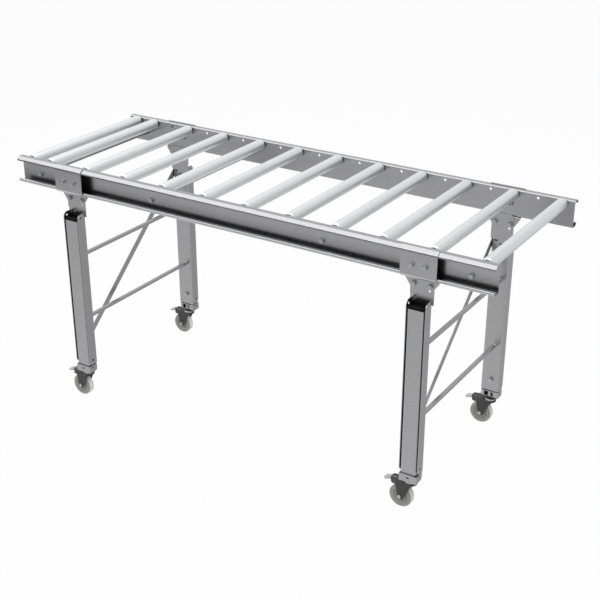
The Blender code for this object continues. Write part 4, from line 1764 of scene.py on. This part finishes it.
@dataclass(frozen=True)
class Softbox:
    """An area lamp: where it hangs, where it faces, its size and how bright its face is."""

    name: str
    place: tuple[float, float, float]
    aim: tuple[float, float, float]
    size: tuple[float, float]
    brightness: float
    on_matt: bool
    on_metal: bool

    def build(self) -> None:
        """Hang the lamp out of the camera's sight."""
        lamp = bpy.data.lights.new(self.name, "AREA")
        lamp.shape = "RECTANGLE"
        lamp.size, lamp.size_y = self.size
        lamp.energy = self.brightness * math.pi * lamp.size * lamp.size_y
        softbox = bpy.data.objects.new(self.name, lamp)
        softbox.location = self.place
        facing = Vector(self.aim) - Vector(self.place)
        softbox.rotation_euler = facing.to_track_quat("-Z", "Y").to_euler()
        softbox.visible_camera = False
        softbox.visible_diffuse = self.on_matt
        softbox.visible_glossy = self.on_metal
        bpy.context.scene.collection.objects.link(softbox)


@dataclass(frozen=True)
class Studio:
    """A white floor under soft light from above, with boards and cloths that draw the steel's edges."""

    floor_reach: float = 90.0
    floor_white: str = "FAFAF9"
    floor_lift: float = 0.95
    white: str = "FFFFFF"
    ambient: str = "B4B4B4"
    lamps: tuple[Softbox, ...] = (
        Softbox("overhead_softbox", (0, 0, 2.9), (0, 0, 0), (4.4, 3.8), 1.3, True, False),
        Softbox("overhead_board", (-3.5, -2.1, 5.0), (-3.5, -2.1, 0), (11.0, 9.8), 1.45, False, True),
        Softbox("front_left_board", (-4.5, -7.0, 3.6), (-4.5, 0, 3.6), (12.0, 2.9), 1.9, False, True),
        Softbox("under_board", (-2.5, -2.0, -4.0), (-2.5, -2.0, 0), (8.0, 5.2), 0.6, False, True),
    )
    flags: tuple[Flag, ...] = (
        Flag("front_left_cloth", 165, 125, "080808"),
        Flag("rear_right_cloth", 30, 55, "DBDBDB", low=-3.2, high=-0.3),
    )

    def seen(self, tree: bpy.types.NodeTree) -> bpy.types.NodeSocket:
        """Tell what the camera sees, directly or in metal and glass, which has a factor of 1.

        Args:
            tree: the tree of a world or material.

        Returns:
            The factor's socket.
        """
        path = add_node(tree, "ShaderNodeLightPath").outputs
        first = {0: path["Is Camera Ray"], 1: path["Is Glossy Ray"]}
        either = add_node(tree, "ShaderNodeMath", first, operation="MAXIMUM").outputs[0]
        last = {0: either, 1: path["Is Transmission Ray"]}
        return add_node(tree, "ShaderNodeMath", last, operation="MAXIMUM").outputs[0]

    def world(self) -> None:
        """White where it is seen, and a plain grey light where it isn't."""
        world = bpy.data.worlds.new("studio")
        world.use_nodes = True
        bpy.context.scene.world = world
        tree = world.node_tree
        colours = {
            MIX_FACTOR: self.seen(tree),
            MIX_FIRST: linear(self.ambient),
            MIX_SECOND: linear(self.white),
        }
        tone = add_node(tree, "ShaderNodeMix", colours, data_type="RGBA").outputs[MIX_RESULT]
        tree.links.new(tone, tree.nodes["Background"].inputs["Color"])

    def stage(self, name: str, shape: BMesh) -> bpy.types.NodeTree:
        """Make a piece of the set.

        Args:
            name: the piece's name.
            shape: its mesh, which is used up.

        Returns:
            The tree of its material, which holds an output only.
        """
        mesh = bpy.data.meshes.new(name)
        shape.to_mesh(mesh)
        shape.free()
        material = bpy.data.materials.new(f"{name}_surface")
        material.use_nodes = True
        tree = material.node_tree
        tree.nodes.remove(tree.nodes["Principled BSDF"])
        mesh.materials.append(material)
        piece = bpy.data.objects.new(name, mesh)
        bpy.context.scene.collection.objects.link(piece)
        return tree

    def floor(self) -> None:
        """A wide floor that is white where it is seen, and keeps a soft shadow."""
        shape = bmesh.new()
        bmesh.ops.create_grid(shape, x_segments=1, y_segments=1, size=self.floor_reach)
        tree = self.stage("floor", shape)
        shares = {0: self.seen(tree), 1: self.floor_lift}
        lift = add_node(tree, "ShaderNodeMath", shares, operation="MULTIPLY").outputs[0]
        paper = add_node(tree, "ShaderNodeBsdfDiffuse", {"Color": linear(self.floor_white)}).outputs[0]
        glow = add_node(tree, "ShaderNodeEmission", {"Color": linear(self.white), "Strength": 1.0}).outputs[0]
        mixed = add_node(tree, "ShaderNodeMixShader", {0: lift, 1: paper, 2: glow}).outputs[0]
        tree.links.new(mixed, tree.nodes["Material Output"].inputs["Surface"])
        floor = bpy.data.objects["floor"]
        floor.visible_glossy = False
        floor.visible_shadow = False

    def hang(self, flag: Flag) -> None:
        """Hang a cloth that shows in metal only.

        Args:
            flag: the cloth.
        """
        tree = self.stage(flag.name, flag.shape())
        tone = add_node(tree, "ShaderNodeEmission", {"Color": linear(flag.tone), "Strength": 1.0}).outputs[0]
        tree.links.new(tone, tree.nodes["Material Output"].inputs["Surface"])
        cloth = bpy.data.objects[flag.name]
        cloth.visible_camera = False
        cloth.visible_diffuse = False
        cloth.visible_shadow = False

    def build(self) -> None:
        """Set up world, floor, cloths and lamps."""
        self.world()
        self.floor()
        for flag in self.flags:
            self.hang(flag)
        for lamp in self.lamps:
            lamp.build()
        bpy.context.scene.view_settings.view_transform = "Standard"


@dataclass(frozen=True)
class PhotoCamera:
    """The camera at the photograph's place: in front, to the right, and above the table."""

    place: tuple[float, float, float] = (1.8230, -2.7877, 1.9684)
    turn_deg: float = 32.340
    tilt_deg: float = 25.219
    lens_mm: float = 69.19
    sensor_mm: float = 36.0
    level_deg: float = 90.0

    def build(self) -> None:
        """Make the camera the scene's own."""
        data = bpy.data.cameras.new("photo_camera")
        data.lens = self.lens_mm
        data.sensor_width = self.sensor_mm
        camera = bpy.data.objects.new("photo_camera", data)
        camera.location = self.place
        camera.rotation_euler = (math.radians(self.level_deg - self.tilt_deg), 0, math.radians(self.turn_deg))
        bpy.context.scene.collection.objects.link(camera)
        bpy.context.scene.camera = camera


def main() -> None:
    """Build the studio and dress the table, piece by piece."""
    logging.basicConfig(level=logging.INFO, format="%(name)s: %(message)s")
    PhotoCamera().build()
    Studio().build()
    bolt = HexBolt()
    rails = SideRails()
    holes = CornerHoles()
    brackets = RailBrackets()
    rails.dress()
    Rollers().dress(rails)
    CrossBars().dress(rails, bolt)
    brackets.dress(rails, holes, bolt)
    legs = Legs()
    legs.dress(rails, holes, bolt, brackets)
    LegSliders().dress()
    DiagonalStrips().dress(legs)
    Casters().dress()


if __name__ == "__main__":
    main()
